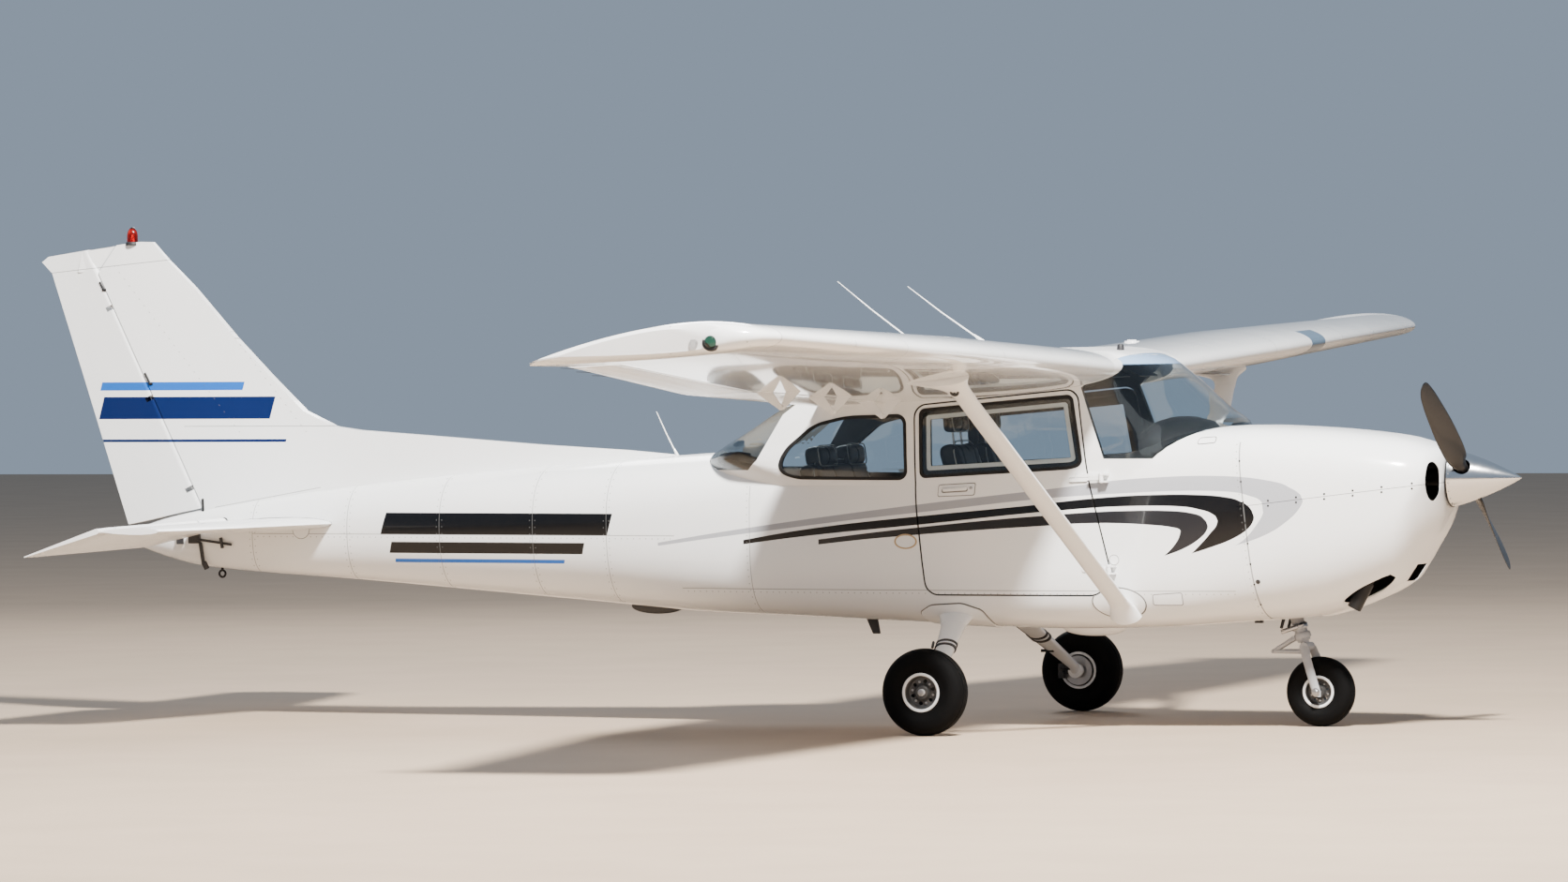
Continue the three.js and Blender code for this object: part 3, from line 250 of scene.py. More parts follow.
# %% Building networks
def finish(name, colour, roughness, metallic=0.0, coat=0.0):
    """A material with its shader, and the coordinates that its pattern reads."""
    made = bpy.data.materials.new(name)
    made.use_nodes = True
    tree = made.node_tree
    shader = tree.nodes["Principled BSDF"]
    shader.inputs["Base Color"].default_value = (*colour, 1)
    shader.inputs["Roughness"].default_value = roughness
    shader.inputs["Metallic"].default_value = metallic
    shader.inputs["Coat Weight"].default_value = coat
    shader.inputs["Coat Roughness"].default_value = 0.04
    place = tree.nodes.new("ShaderNodeTexCoord").outputs["Object"]
    split = tree.nodes.new("ShaderNodeSeparateXYZ")
    tree.links.new(place, split.inputs[0])
    return made, tree, shader, place, split.outputs


def join(tree, value, socket):
    if isinstance(value, bpy.types.NodeSocket):
        tree.links.new(value, socket)
    else:
        socket.default_value = value


def calc(tree, how, *values):
    """One step of arithmetic on sockets or numbers."""
    made = tree.nodes.new("ShaderNodeMath")
    made.operation = how
    for value, socket in zip(values, made.inputs):
        join(tree, value, socket)
    return made.outputs[0]


def every(tree, how, values):
    total = values[0]
    for value in values[1:]:
        total = calc(tree, how, total, value)
    return total


def within(tree, value, low, high):
    """1 where a value lies between two others."""
    return calc(tree, "MULTIPLY", calc(tree, "GREATER_THAN", value, low), calc(tree, "LESS_THAN", value, high))


def mix(tree, share, first, second):
    made = tree.nodes.new("ShaderNodeMix")
    made.data_type = "RGBA"
    for value, socket in ((share, made.inputs[0]), (first, made.inputs[6]), (second, made.inputs[7])):
        join(tree, (*value, 1) if isinstance(value, tuple) and len(value) == 3 else value, socket)
    return made.outputs[2]


def cloud(tree, place, scale, detail=3.0, stretch=None):
    """Noise between 0 and 1, of about 1/scale metres, drawn out along an axis by stretch."""
    made = tree.nodes.new("ShaderNodeTexNoise")
    made.inputs["Scale"].default_value = scale
    made.inputs["Detail"].default_value = detail
    if stretch:
        turn = tree.nodes.new("ShaderNodeMapping")
        turn.inputs["Scale"].default_value = stretch
        tree.links.new(place, turn.inputs["Vector"])
        place = turn.outputs[0]
    tree.links.new(place, made.inputs["Vector"])
    return made.outputs["Fac"]


def spread(tree, value, low, high):
    """A value from 0 to 1 laid between two others."""
    made = tree.nodes.new("ShaderNodeMapRange")
    made.inputs["To Min"].default_value, made.inputs["To Max"].default_value = low, high
    join(tree, value, made.inputs["Value"])
    return made.outputs[0]


def bump(tree, shader, height, depth):
    """Relief of a real depth in metres."""
    made = tree.nodes.new("ShaderNodeBump")
    made.inputs["Distance"].default_value = depth
    tree.links.new(height, made.inputs["Height"])
    tree.links.new(made.outputs[0], shader.inputs["Normal"])


def along_curve(tree, value, points):
    """A height that follows a drawn curve, given as places and heights."""
    made = tree.nodes.new("ShaderNodeFloatCurve")
    (x0, x1), (y0, y1) = [(min(c) - 0.001, max(c) + 0.001) for c in zip(*points)]
    curve = made.mapping.curves[0]
    for i, (x, y) in enumerate(points):
        at = ((x - x0) / (x1 - x0), (y - y0) / (y1 - y0))
        if i < 2:
            curve.points[i].location = at
        else:
            curve.points.new(*at)
    made.mapping.update()
    low = calc(tree, "DIVIDE", calc(tree, "SUBTRACT", value, x0), x1 - x0)
    tree.links.new(low, made.inputs["Value"])
    return calc(tree, "ADD", calc(tree, "MULTIPLY", made.outputs[0], y1 - y0), y0)


# %% [markdown]
# ## White paint, its seams and its rivets
# Aluminium skins are riveted sheet, sprayed white. From a step away the sheets show as thin grey lines with
# rows of small dots beside them. Both are drawn from distances: a line is where one coordinate is close to a
# number, and a dot is where two are.


# %% Seams and rivets
SEAM_HALF = 0.0018
RIVET_RADIUS, RIVET_STEP, RIVET_ASIDE = 0.0034, 0.036, 0.016


def seam(tree, across, place, limits=()):
    """A thin line where a coordinate is at a place. Each limit is a coordinate, a low and a high."""
    line = calc(tree, "COMPARE", across, place, SEAM_HALF)
    return every(tree, "MULTIPLY", [line, *(within(tree, *limit) for limit in limits)])


def rivets(tree, across, place, along, limits=()):
    """A row of round dots at a place of one coordinate, evenly stepped along another."""
    off = calc(tree, "SUBTRACT", across, place)
    step = calc(tree, "SUBTRACT", calc(tree, "FRACT", calc(tree, "DIVIDE", along, RIVET_STEP)), 0.5)
    step = calc(tree, "MULTIPLY", step, RIVET_STEP)
    far = calc(tree, "SQRT", calc(tree, "ADD", calc(tree, "MULTIPLY", off, off), calc(tree, "MULTIPLY", step, step)))
    dot = calc(tree, "LESS_THAN", far, RIVET_RADIUS)
    return every(tree, "MULTIPLY", [dot, *(within(tree, *limit) for limit in limits)])


def strongest(tree, masks):
    return every(tree, "MAXIMUM", masks)


WHITE = (0.83, 0.84, 0.845)
LOW_DARK_TONE = (0.46, 0.43, 0.39)


def white_paint(name, draw_seams, draw_colours=None, darker_below=None, coat=0.3):
    """White gloss paint. The two functions give the masks of its seams and its coloured parts."""
    made, tree, shader, place, (x, y, z) = finish(name, WHITE, 0.2, coat=coat)
    shader.inputs["Specular IOR Level"].default_value = 0.28
    tone = mix(tree, cloud(tree, place, 1.7), WHITE, tuple(v * 0.955 for v in WHITE))
    # Below a given height the paint turns darker and browner in streaks, more so the lower it is.
    if darker_below is not None:
        low = calc(tree, "SUBTRACT", darker_below, z)
        low = calc(tree, "MULTIPLY", low, 2.2)
        streaks = cloud(tree, place, 5.0, 5.0, stretch=(0.35, 1.0, 1.8))
        share = calc(tree, "MULTIPLY", calc(tree, "MAXIMUM", low, 0.0), spread(tree, streaks, 0.0, 0.9))
        tone = mix(tree, calc(tree, "MINIMUM", share, 0.55), tone, LOW_DARK_TONE)
    for colour, mask in draw_colours(tree, x, y, z) if draw_colours else ():
        tone = mix(tree, mask, tone, colour)
    lines, dots = draw_seams(tree, x, y, z)
    marks = calc(tree, "MAXIMUM", calc(tree, "MULTIPLY", lines, 0.7), calc(tree, "MULTIPLY", dots, 0.5))
    tone = mix(tree, marks, tone, (0.12, 0.12, 0.12))
    join(tree, tone, shader.inputs["Base Color"])
    join(tree, spread(tree, cloud(tree, place, 6.0), 0.16, 0.3), shader.inputs["Roughness"])
    relief = calc(tree, "SUBTRACT", dots, lines)
    waves = calc(tree, "MULTIPLY", cloud(tree, place, 3.2, 1.0), 1.2)
    bump(tree, shader, calc(tree, "ADD", relief, waves), 0.0009)
    return made


# %% [markdown]
# ## The stripes
# Three bands sweep along the side and hook down and back behind the engine. Each band is what lies inside
# one drawn curve and outside another. A curve's points are pixels of the photo. Most are read one by one, and the
# rest, mainly round the tips, are set between them. The camera says where each point meets the side of
# the body. A curve has an upper half, and a lower half that begins where the hook ends, so each half gives one
# height for each place along the body.

# %% Stripe curves, as pixels of the photo, from the back over the front to the hook's end
STRIPE_SIDE = -0.52  # metres: the body's side under the stripes
STRIPES = [
    dict(
        colour=(0.35, 0.36, 0.39),
        outer=[(694, 579.6), (804, 562), (977, 538.6), (1118, 522), (1228, 509.6), (1304, 507.9), (1355, 513.5),
               (1375, 521), (1386, 529), (1388, 534), (1383, 544), (1370, 557), (1350, 570), (1317, 582)],
        inner=[(694, 583), (804, 568), (977, 547), (1202, 526), (1299, 524), (1335, 530), (1345, 536),
               (1347.5, 542), (1345.5, 549.5), (1340, 559), (1327, 575), (1317, 582)],
    ),
    dict(
        colour=(0.003, 0.003, 0.0035),
        outer=[(789.5, 576.4), (886, 561), (982, 550.6), (1097, 539.4), (1176, 531), (1228, 528), (1279, 528),
               (1304, 530), (1324.5, 536), (1335, 545.5), (1337, 551), (1335.5, 557), (1330, 564.5), (1314, 575),
               (1291, 584), (1271, 590.5)],
        inner=[(789.5, 581), (867, 571), (982, 559.6), (1138, 544), (1202, 540), (1253, 540), (1281, 544),
               (1294, 549), (1298.5, 555), (1297, 561), (1291.5, 568), (1284, 577), (1271, 590.5)],
    ),
    dict(
        colour=(0.012, 0.012, 0.014),
        outer=[(872, 575.6), (982, 562.4), (1108, 550.6), (1202, 545), (1248, 545), (1273.5, 548), (1285, 554.5),
               (1288.5, 561), (1286.5, 567), (1279, 575), (1263, 585), (1242, 593)],
        inner=[(872, 581), (954, 572.5), (1114, 561), (1176, 558), (1228, 560), (1253, 563), (1259.5, 566),
               (1258.5, 571), (1256, 577), (1242, 593)],
    ),
]
FAR_BELOW = 10.0  # metres: under the whole aircraft


def on_side(reading):
    """Where a pixel of the photo meets the side of the body: place along it and height, in metres."""
    across, down = reading[0] - PHOTO_WIDTH / 2, reading[1] - PHOTO_HEIGHT / 2
    ray = forward * (PHOTO_WIDTH * LENS / SENSOR) + right * across - up * down
    met = STAND + ray * ((STRIPE_SIDE - STAND.y) / ray.y)
    return met.x, met.z


def halves(readings):
    """The upper and the lower half of a curve, both drawn forwards, which part at its foremost point."""
    points = [on_side(reading) for reading in readings]
    tip = points.index(max(points))
    return points[:tip + 1], points[tip:][::-1]


def stripe_mask(tree, x, z, outer_top, outer_low, inner_top, inner_low):
    """1 between an outer curve and an inner one, each open at the back and closed at the front."""
    def inside(top, low):
        behind_hook = calc(tree, "LESS_THAN", x, low[0][0])
        floor = calc(tree, "SUBTRACT", along_curve(tree, x, low), calc(tree, "MULTIPLY", behind_hook, FAR_BELOW))
        under = calc(tree, "LESS_THAN", z, along_curve(tree, x, top))
        over = calc(tree, "GREATER_THAN", z, floor)
        ahead = calc(tree, "LESS_THAN", x, top[-1][0])
        return every(tree, "MULTIPLY", [under, over, ahead])

    in_outer = inside(outer_top, outer_low)
    in_inner = inside(inner_top, inner_low)
    begun = calc(tree, "GREATER_THAN", x, outer_top[0][0])
    return every(tree, "MULTIPLY", [in_outer, calc(tree, "SUBTRACT", 1.0, in_inner), begun])


# %% [markdown]
# ## Plain bars instead of marks
# An aircraft carries its registration behind the cabin and its owner's sign on the fin. This one is nobody's,
# so plain slanted bars of the same size and place keep the balance of dark and light.

# %% Bars on the tail: colour, low and high edge, back and front end
NAVY, BLUE, BLACK = (0.004, 0.012, 0.07), (0.01, 0.11, 0.45), (0.003, 0.003, 0.0035)
SIDE_BARS = [
    (BLACK, 0.985, 1.10, -2.06, -0.70),
    (BLACK, 0.885, 0.945, -2.02, -0.86),
    (BLUE, 0.835, 0.855, -2.00, -0.98),
]
FIN_BARS = [
    (NAVY, 1.60, 1.72, -3.80, -2.78),
    (BLUE, 1.755, 1.80, -3.80, -2.95),
    (NAVY, 1.475, 1.49, -3.80, -2.70),
]
BAR_SLANT = 0.28


def bars(tree, x, z, table):
    masks = []
    for colour, low, high, back, front in table:
        slanted = calc(tree, "SUBTRACT", x, calc(tree, "MULTIPLY", z, BAR_SLANT))
        middle = (low + high) / 2 * BAR_SLANT
        ends = within(tree, slanted, back - middle, front - middle)
        masks.append((colour, calc(tree, "MULTIPLY", within(tree, z, low, high), ends)))
    return masks


# %% [markdown]
# ## Which seams run where
# The cowl's skin is smooth moulding with few seams. The cabin's sheets meet at frames, and the tail cone's
# sheets overlap at rings a pace apart. Wings show ribs across and spars along.


# %% Paint for each part of the airframe
TAIL_RINGS = [-0.72, -1.16, -1.72, -2.28, -2.86]  # metres along the body, as are the seams below
TAIL_SEAM, SILL_SEAM = 0.985, 0.71  # heights of the two long seams
DOOR_POST, FIREWALL, FIREWALL_LEAN = 0.12, 2.937, 0.105  # the firewall leans back by this share of the height
FIREWALL_GAP = 0.0015  # half the width of the split between the body and the cowl


def body_seams(tree, x, y, z):
    behind_cabin, tail, cabin = (x, -3.6, -0.28), (x, TAIL_RINGS[-1], -0.32), (x, -0.3, 2.76)
    low_side, cowl_edge = (z, 0.0, 1.25), (z, 0.5, 1.47)
    firewall = calc(tree, "ADD", x, calc(tree, "MULTIPLY", z, FIREWALL_LEAN))
    lines = [seam(tree, x, place, [behind_cabin]) for place in TAIL_RINGS]
    dots = [rivets(tree, x, place + way * RIVET_ASIDE, z, [behind_cabin]) for place in TAIL_RINGS for way in (-1, 1)]
    for value, place, along, limit in (
        (z, TAIL_SEAM, x, tail), (z, SILL_SEAM, x, cabin), (x, DOOR_POST, z, low_side),
    ):
        lines.append(seam(tree, value, place, [limit]))
        dots.append(rivets(tree, value, place - RIVET_ASIDE, along, [limit]))
    lines += [seam(tree, firewall, FIREWALL + off, [cowl_edge]) for off in (-FIREWALL_GAP, FIREWALL_GAP)]
    dots.append(rivets(tree, firewall, FIREWALL - RIVET_ASIDE, z, [cowl_edge]))
    return strongest(tree, lines), strongest(tree, dots)


def body_colours(tree, x, y, z):
    masks = [
        (stripe["colour"], stripe_mask(tree, x, z, *halves(stripe["outer"]), *halves(stripe["inner"])))
        for stripe in STRIPES
    ]
    return masks + bars(tree, x, z, SIDE_BARS)


def fin_seams(tree, x, y, z):
    lines = [seam(tree, z, 1.56, [(x, -3.3, -2.4)])]
    lines.append(seam(tree, calc(tree, "SUBTRACT", z, calc(tree, "MULTIPLY", x, 0.093)), 2.776))
    base = calc(tree, "SUBTRACT", z, calc(tree, "MULTIPLY", x, 0.173))
    lines.append(seam(tree, base, 1.6625, [(x, -3.12, -2.5)]))
    dots = [
        rivets(tree, calc(tree, "ADD", x, calc(tree, "MULTIPLY", z, 0.82)), place, z, [(z, 1.5, 2.45)])
        for place in (-1.33, -1.72)
    ]
    return strongest(tree, lines), strongest(tree, dots)


def fin_colours(tree, x, y, z):
    return bars(tree, x, z, FIN_BARS)


def wing_seams(tree, x, y, z):
    out = calc(tree, "ABSOLUTE", y)
    ribs = [0.98, 1.62, 2.30, 2.98, 3.66, 4.34, 4.98, 5.28]
    lines = [seam(tree, out, place) for place in ribs if place in (2.30, 3.66, 5.28)]
    dots = [rivets(tree, out, place, x) for place in ribs]
    dots += [rivets(tree, x, place, y) for place in (1.62, 1.98)]
    return strongest(tree, lines), strongest(tree, dots)


def plain_seams(tree, x, y, z):
    out = calc(tree, "ABSOLUTE", y)
    return calc(tree, "COMPARE", out, 9.0, 0.001), rivets(tree, out, 0.3, x)


body_paint = white_paint("body_paint", body_seams, body_colours, darker_below=0.72)
fin_paint = white_paint("fin_paint", fin_seams, fin_colours)
wing_paint = white_paint("wing_paint", wing_seams, coat=1.0)
plain_paint = white_paint("plain_paint", plain_seams, darker_below=0.5)
print("paints:", body_paint.name, fin_paint.name, wing_paint.name, plain_paint.name)

# %% [markdown]
# ## Glass, rubber, metal, plastic and cloth
# Windows are clear sheet with a faint tint. Tyres are dull and dusty. The spinner is polished, the wheels are
# cast and painted, and the exhaust is burnt steel. Inside there is grey cloth, dark plastic and carpet.


# %% The other finishes
def speckled(name, colour, roughness, scale, depth, metallic=0.0, vary=0.25, stretch=None, specular=0.5):
    """A finish whose colour, gloss and relief all vary a little with one cloud."""
    made, tree, shader, place, _ = finish(name, colour, roughness, metallic)
    shader.inputs["Specular IOR Level"].default_value = specular
    grain = cloud(tree, place, scale, 6.0, stretch)
    wide = cloud(tree, place, scale * 0.04, 3.0)
    tone = mix(tree, wide, tuple(v * (1 - vary) for v in colour), tuple(min(1, v * (1 + vary)) for v in colour))
    join(tree, tone, shader.inputs["Base Color"])
    join(tree, spread(tree, grain, roughness * 0.8, min(1, roughness * 1.2)), shader.inputs["Roughness"])
    bump(tree, shader, grain, depth)
    return made


def woven(name, colour, thread, depth):
    """Cloth: two sets of threads that cross, and a slow change of tone."""
    made, tree, shader, place, (x, y, z) = finish(name, colour, 0.9)
    waves = []
    for value in (calc(tree, "ADD", x, calc(tree, "MULTIPLY", z, 0.3)), calc(tree, "ADD", y, z)):
        turns = calc(tree, "MULTIPLY", value, math.tau / thread)
        waves.append(calc(tree, "SINE", turns))
    weave = calc(tree, "MULTIPLY", *waves)
    tone = mix(tree, spread(tree, weave, 0.3, 0.7), tuple(v * 0.7 for v in colour), tuple(v * 1.3 for v in colour))
    join(tree, tone, shader.inputs["Base Color"])
    shader.inputs["Sheen Weight"].default_value = 0.3
    bump(tree, shader, weave, depth)
    return made


def clear(name, colour, roughness=0.0):
    made, tree, shader, place, _ = finish(name, colour, roughness)
    shader.inputs["Transmission Weight"].default_value = 1.0
    shader.inputs["IOR"].default_value = 1.45
    join(tree, spread(tree, cloud(tree, place, 9.0), roughness, roughness + 0.02), shader.inputs["Roughness"])
    return made


glass = clear("window_glass", (0.86, 0.92, 0.94))
# The windshield's top band is tinted glass, but more than half of it is an opaque light blue: a painted sky reflection.
tint_and_painted_sky = clear("tinted_strip", (0.42, 0.62, 0.9), 0.08)
tint_and_painted_sky.node_tree.nodes["Principled BSDF"].inputs["Transmission Weight"].default_value = 0.45
red_lens = clear("red_lens", (0.75, 0.02, 0.01), 0.08)
lamp_lens = clear("lamp_lens", (0.95, 0.97, 1.0), 0.02)
tyre_rubber = speckled("tyre_rubber", (0.0022, 0.0022, 0.0024), 0.7, 160, 0.0004, specular=0.08)
seal_rubber = speckled("seal_rubber", (0.006, 0.006, 0.0065), 0.55, 300, 0.0002, specular=0.3)
wheel_paint = speckled("wheel_paint", (0.72, 0.73, 0.74), 0.35, 120, 0.0001, vary=0.06)
# Dark metal for the recessed wheel dish: painted shade.
wheel_dark = speckled("wheel_dark", (0.075, 0.074, 0.074), 0.42, 90, 0.0002, metallic=0.5)
# The gear's light grey paint darkened further: partly painted shade.
gear_grey = speckled("gear_grey", (0.33, 0.335, 0.35), 0.42, 120, 0.0002, vary=0.1)
polished_metal = speckled("polished_metal", (0.74, 0.75, 0.76), 0.16, 40, 0.00005, metallic=1.0, vary=0.05)
bare_steel = speckled("bare_steel", (0.42, 0.42, 0.43), 0.34, 90, 0.0001, metallic=1.0)
burnt_steel = speckled("burnt_steel", (0.009, 0.009, 0.0095), 0.5, 60, 0.0004, metallic=0.2, specular=0.35)
dark_plastic = speckled("dark_plastic", (0.018, 0.018, 0.02), 0.5, 400, 0.0002)
trim_plastic = speckled("trim_plastic", (0.014, 0.0135, 0.014), 0.6, 300, 0.0003, vary=0.08, specular=0.3)
blade_paint = speckled("blade_paint", (0.008, 0.008, 0.009), 0.35, 50, 0.0001, specular=0.35)
engine_metal = speckled("engine_metal", (0.08, 0.08, 0.085), 0.5, 60, 0.0008, metallic=0.7)
seat_cloth = woven("seat_cloth", (0.055, 0.058, 0.066), 0.004, 0.0004)
seat_leather = speckled("seat_leather", (0.008, 0.008, 0.0095), 0.45, 260, 0.0004, specular=0.2)
# Grey-dark edges round plates and the patch under each door lever: painted shadow.
sealant = speckled("sealant", (0.13, 0.125, 0.12), 0.7, 200, 0.0002)
carpet = speckled("carpet", (0.035, 0.034, 0.036), 0.95, 500, 0.002)

# %% [markdown]
# ## The body
# The body is a rounded tube that grows out of the nose, is nearly square round the cabin and tapers to the
# tail. Each row gives a section: where it is, its half width, the heights of its bottom, widest level and
# top, and how square it is over and under that level, where 2 is an ellipse.

# %% Sections of the body
BODY = [
    (3765, 190, 1150, 1270, 1395, 2.2, 2.2),
    (3742, 300, 1070, 1268, 1424, 2.4, 2.2),
    (3700, 370, 975, 1255, 1443, 2.7, 2.3),
    (3640, 408, 880, 1225, 1466, 2.9, 2.4),
    (3560, 436, 752, 1190, 1489, 3.0, 2.5),
    (3400, 466, 664, 1160, 1512, 3.3, 2.7),
    (3100, 497, 566, 1130, 1538, 3.6, 2.8),
    (2760, 522, 543, 1110, 1551, 4.0, 3.6),
    (2300, 536, 514, 1100, 1540, 4.0, 4.8),
    (1800, 540, 505, 1090, 1500, 4.0, 5.0),
    (1000, 535, 533, 1090, 1480, 4.0, 4.6),
    (300, 498, 558, 1085, 1440, 3.3, 3.8),
    (-200, 448, 573, 1075, 1415, 2.7, 3.0),
    (-1000, 352, 634, 1045, 1358, 2.3, 2.4),
    (-2200, 212, 730, 1010, 1250, 2.2, 2.2),
    (-3180, 105, 805, 980, 1118, 2.2, 2.2),
    (-3420, 76, 858, 975, 1066, 2.2, 2.2),
    (-3590, 36, 915, 965, 1010, 2.2, 2.2),
]
UPPER = [  # the glazed cabin by levels: height, front, where its curve starts, half width, rear curve, rear
    (1250, 2700, 2230, 530, 700, -330),
    (1400, 2690, 2190, 530, 130, -215),
    (1450, 2690, 2180, 527, 100, -120),
    (1552, 2688, 2150, 522, 200, 85),
    (1632, 2586, 2110, 516, 300, 245),
    (1750, 2446, 2050, 503, 560, 520),
    (1850, 2318, 2010, 492, 800, 760),
    (1905, 2232, 1975, 485, 900, 860),
    (1940, 2100, 1900, 470, 1000, 960),
]
WING = [  # distance out, then the leading and the trailing edge as place and height
    (562, 2150, 1860, 520, 1668),
    (2540, 2150, 1937, 553, 1753),
    (5280, 2085, 2042, 1030, 1914),
    (5420, 2030, 2046, 900, 1920),
    (5484, 1940, 2042, 960, 1940),
    (5500, 1850, 2030, 1080, 1960),
]
WALL, SKIN, GLASS, FIT, GAP = 38, 8, 6, 0.3, 8
CABIN_END, BODY_END, NOSE_END = -300, -3590, 3765
QUARTER = 12  # steps in a quarter of a section


def power_of(t, power):
    return math.copysign(abs(round(t, 9)) ** (2 / power), t)


def body_ring(row, wall):
    x, half, bottom, middle, top, over, under = row
    ring = []
    for i in range(4 * QUARTER):
        angle = i * math.pi / (2 * QUARTER)
        upper = math.sin(angle) > 0
        power = over if upper else under
        height = (top - middle if upper else middle - bottom) - wall
        ring.append(Vector((
            x,
            (half - wall) * power_of(math.cos(angle), power),
            middle + height * power_of(math.sin(angle), power),
        )) * MM)
    return ring


def body_solid(wall, low, high):
    """The body as a solid between two places, its surface a wall's thickness in."""
    own = [row[0] for row in BODY if low < row[0] < high]
    places = sorted({*own, *(p for p in steps_between(low, high, 50))})
    places = [p for i, p in enumerate(places) if i == 0 or p - places[i - 1] > 4]
    return new_object(loft([body_ring(row, wall) for row in smooth_rows(BODY, places)]), "body_solid")


def upper_ring(row, wall):
    z, front, front_side, half, rear_side, rear = row
    side = []
    corners = ((front_side, front - wall - front_side, 0), (rear_side, rear_side - rear - wall, math.pi / 2))
    for centre, reach, start in corners:
        for i in range(QUARTER + 1):
            angle = start + i * math.pi / (2 * QUARTER)
            side.append((centre + reach * math.cos(angle), (half - wall) * math.sin(angle)))
    other = [(x, -y) for x, y in reversed(side[1:-1])]
    return [Vector((x, y, z)) * MM for x, y in side + other]


def upper_solid(wall):
    levels = steps_between(UPPER[0][0], UPPER[-1][0] - wall, 23)
    rows = smooth_rows(UPPER, levels)
    return new_object(loft([upper_ring(row, wall) for row in rows]), "upper_solid")


# %% [markdown]
# ## Cutting tools
# A door or window is drawn in side view and pushed through the wall. Its outline is one face; extruding the
# face gives the tool its depth, and bevelling the edges that run across gives it its round corners.


# %% Tools drawn in side view
def slab(outline, sides, rounding=0.0, name="slab"):
    bm = bmesh.new()
    verts = [bm.verts.new((x * MM, sides[0] * MM, z * MM)) for x, z in outline]
    face = bm.faces.new(verts)
    across = bmesh.ops.extrude_face_region(bm, geom=[face])["geom"]
    moved = [g for g in across if isinstance(g, bmesh.types.BMVert)]
    bmesh.ops.translate(bm, verts=moved, vec=(0, (sides[1] - sides[0]) * MM, 0))
    if rounding:
        corners = [e for e in bm.edges if abs((e.verts[0].co - e.verts[1].co).y) > 1e-6]
        bmesh.ops.bevel(
            bm, geom=corners, offset=rounding * MM, segments=8, profile=0.5, affect="EDGES", material=-1,
            clamp_overlap=True,
        )
    bmesh.ops.recalc_face_normals(bm, faces=bm.faces)
    return new_object(bm, name)


def grown(outline, by):
    """An outline with every edge moved out."""
    pairs = list(zip(outline, outline[1:] + outline[:1]))
    turn = math.copysign(1, sum(x * nz - nx * z for (x, z), (nx, nz) in pairs))
    edges = []
    for (x, z), (nx, nz) in pairs:
        long = math.hypot(nx - x, nz - z)
        edges.append((x + (nz - z) / long * turn * by, z - (nx - x) / long * turn * by, nx - x, nz - z))
    corners = []
    for (ax, az, adx, adz), (bx, bz, bdx, bdz) in zip(edges[-1:] + edges[:-1], edges):
        t = ((bx - ax) * bdz - (bz - az) * bdx) / (adx * bdz - adz * bdx)
        corners.append((ax + adx * t, az + adz * t))
    return corners


def block(x, y, z, name="block"):
    return slab([(x[0], z[0]), (x[1], z[0]), (x[1], z[1]), (x[0], z[1])], y, name=name)


FIREWALL = {"low": (2865, 300), "high": (2705, 1900)}


def nose_space(gap=0):
    """Everything ahead of the firewall."""
    (lx, lz), (hx, hz) = FIREWALL["low"], FIREWALL["high"]
    return slab([(lx + gap, lz), (4600, lz), (4600, hz), (hx + gap, hz)], (-900, 900))


def rear_space(gap=0):
    (lx, lz), (hx, hz) = FIREWALL["low"], FIREWALL["high"]
    return slab([(0, lz), (lx + gap, lz), (hx + gap, hz), (0, hz)], (-900, 900))


# %% [markdown]
# ## The aerofoil
# A wing section is a thickness laid about a bent middle line. The same formula draws every section, so the
# roof of the cabin, the wings and their moving surfaces all follow one shape.


# %% Wing sections
THICK, CAMBER, CREST, EDGE = 0.135, 0.024, 0.4, 0.004
FOIL_STEPS = 22


def aerofoil(u):
    shape = 0.2969 * math.sqrt(u) - 0.126 * u - 0.3516 * u**2 + 0.2843 * u**3 - 0.1036 * u**4
    before = u < CREST
    span = CREST if before else 1 - CREST
    line = CAMBER / span**2 * (2 * CREST * u - u * u if before else 1 - 2 * CREST + 2 * CREST * u - u * u)
    return 5 * THICK * shape + EDGE * u, line


def wing_ring(row, bead=0.0):
    """A section of the wing. A bead lifts the skin near the trailing edge a little."""
    y, le_x, le_z, te_x, te_z = row
    chord = math.hypot(le_x - te_x, le_z - te_z)
    back = Vector((te_x - le_x, te_z - le_z)) / chord
    lift = Vector((back.y, -back.x))

    def place(u, side):
        half, line = aerofoil(u)
        raised = bead * max(0.0, min(1.0, (u - 0.83) / 0.02, (0.985 - u) / 0.02)) if bead else 0.0
        v = line * chord + side * (half * chord + raised)
        at = Vector((le_x, le_z)) + back * u * chord + lift * v
        return Vector((at.x, y, at.y)) * MM

    stations = [1 - math.cos(i * math.pi / (2 * FOIL_STEPS)) for i in range(FOIL_STEPS + 1)]
    return [place(u, 1) for u in reversed(stations)] + [place(u, -1) for u in stations[1:]]


def wing_row_at(y):
    i = next(k for k in range(1, len(WING)) if WING[k][0] >= y)
    a, b = WING[i - 1], WING[i]
    t = (y - a[0]) / (b[0] - a[0])
    return tuple(p + (q - p) * t for p, q in zip(a, b))


def wing_point(y, u):
    """The pivot line's place and the half thickness there."""
    _, le_x, le_z, te_x, te_z = wing_row_at(y)
    half, line = aerofoil(u)
    chord = math.hypot(le_x - te_x, le_z - te_z)
    pitch = math.atan2(le_z - te_z, le_x - te_x)
    x = le_x + (te_x - le_x) * u - chord * line * math.sin(pitch)
    z = le_z + (te_z - le_z) * u + chord * line * math.cos(pitch)
    return x, y, z, chord * half

# %% [markdown]
# ## The cabin shell
# The outside is the body, the glazed upper cabin and a stretch of wing section as the roof, joined. The room
# inside is the same forms a wall's thickness in. What is left between them is one wall, and its inner faces
# carry number 1, which later becomes the trim.


# %% Wall of the cabin
def aft_space():
    return block((CABIN_END - 700, CABIN_END), (-900, 900), (0, 2500))


def body_and_upper(wall):
    made = body_solid(wall, CABIN_END - (50 if wall > 20 else 0), 2900)
    return carve(made, carve(upper_solid(wall), aft_space()), "UNION")


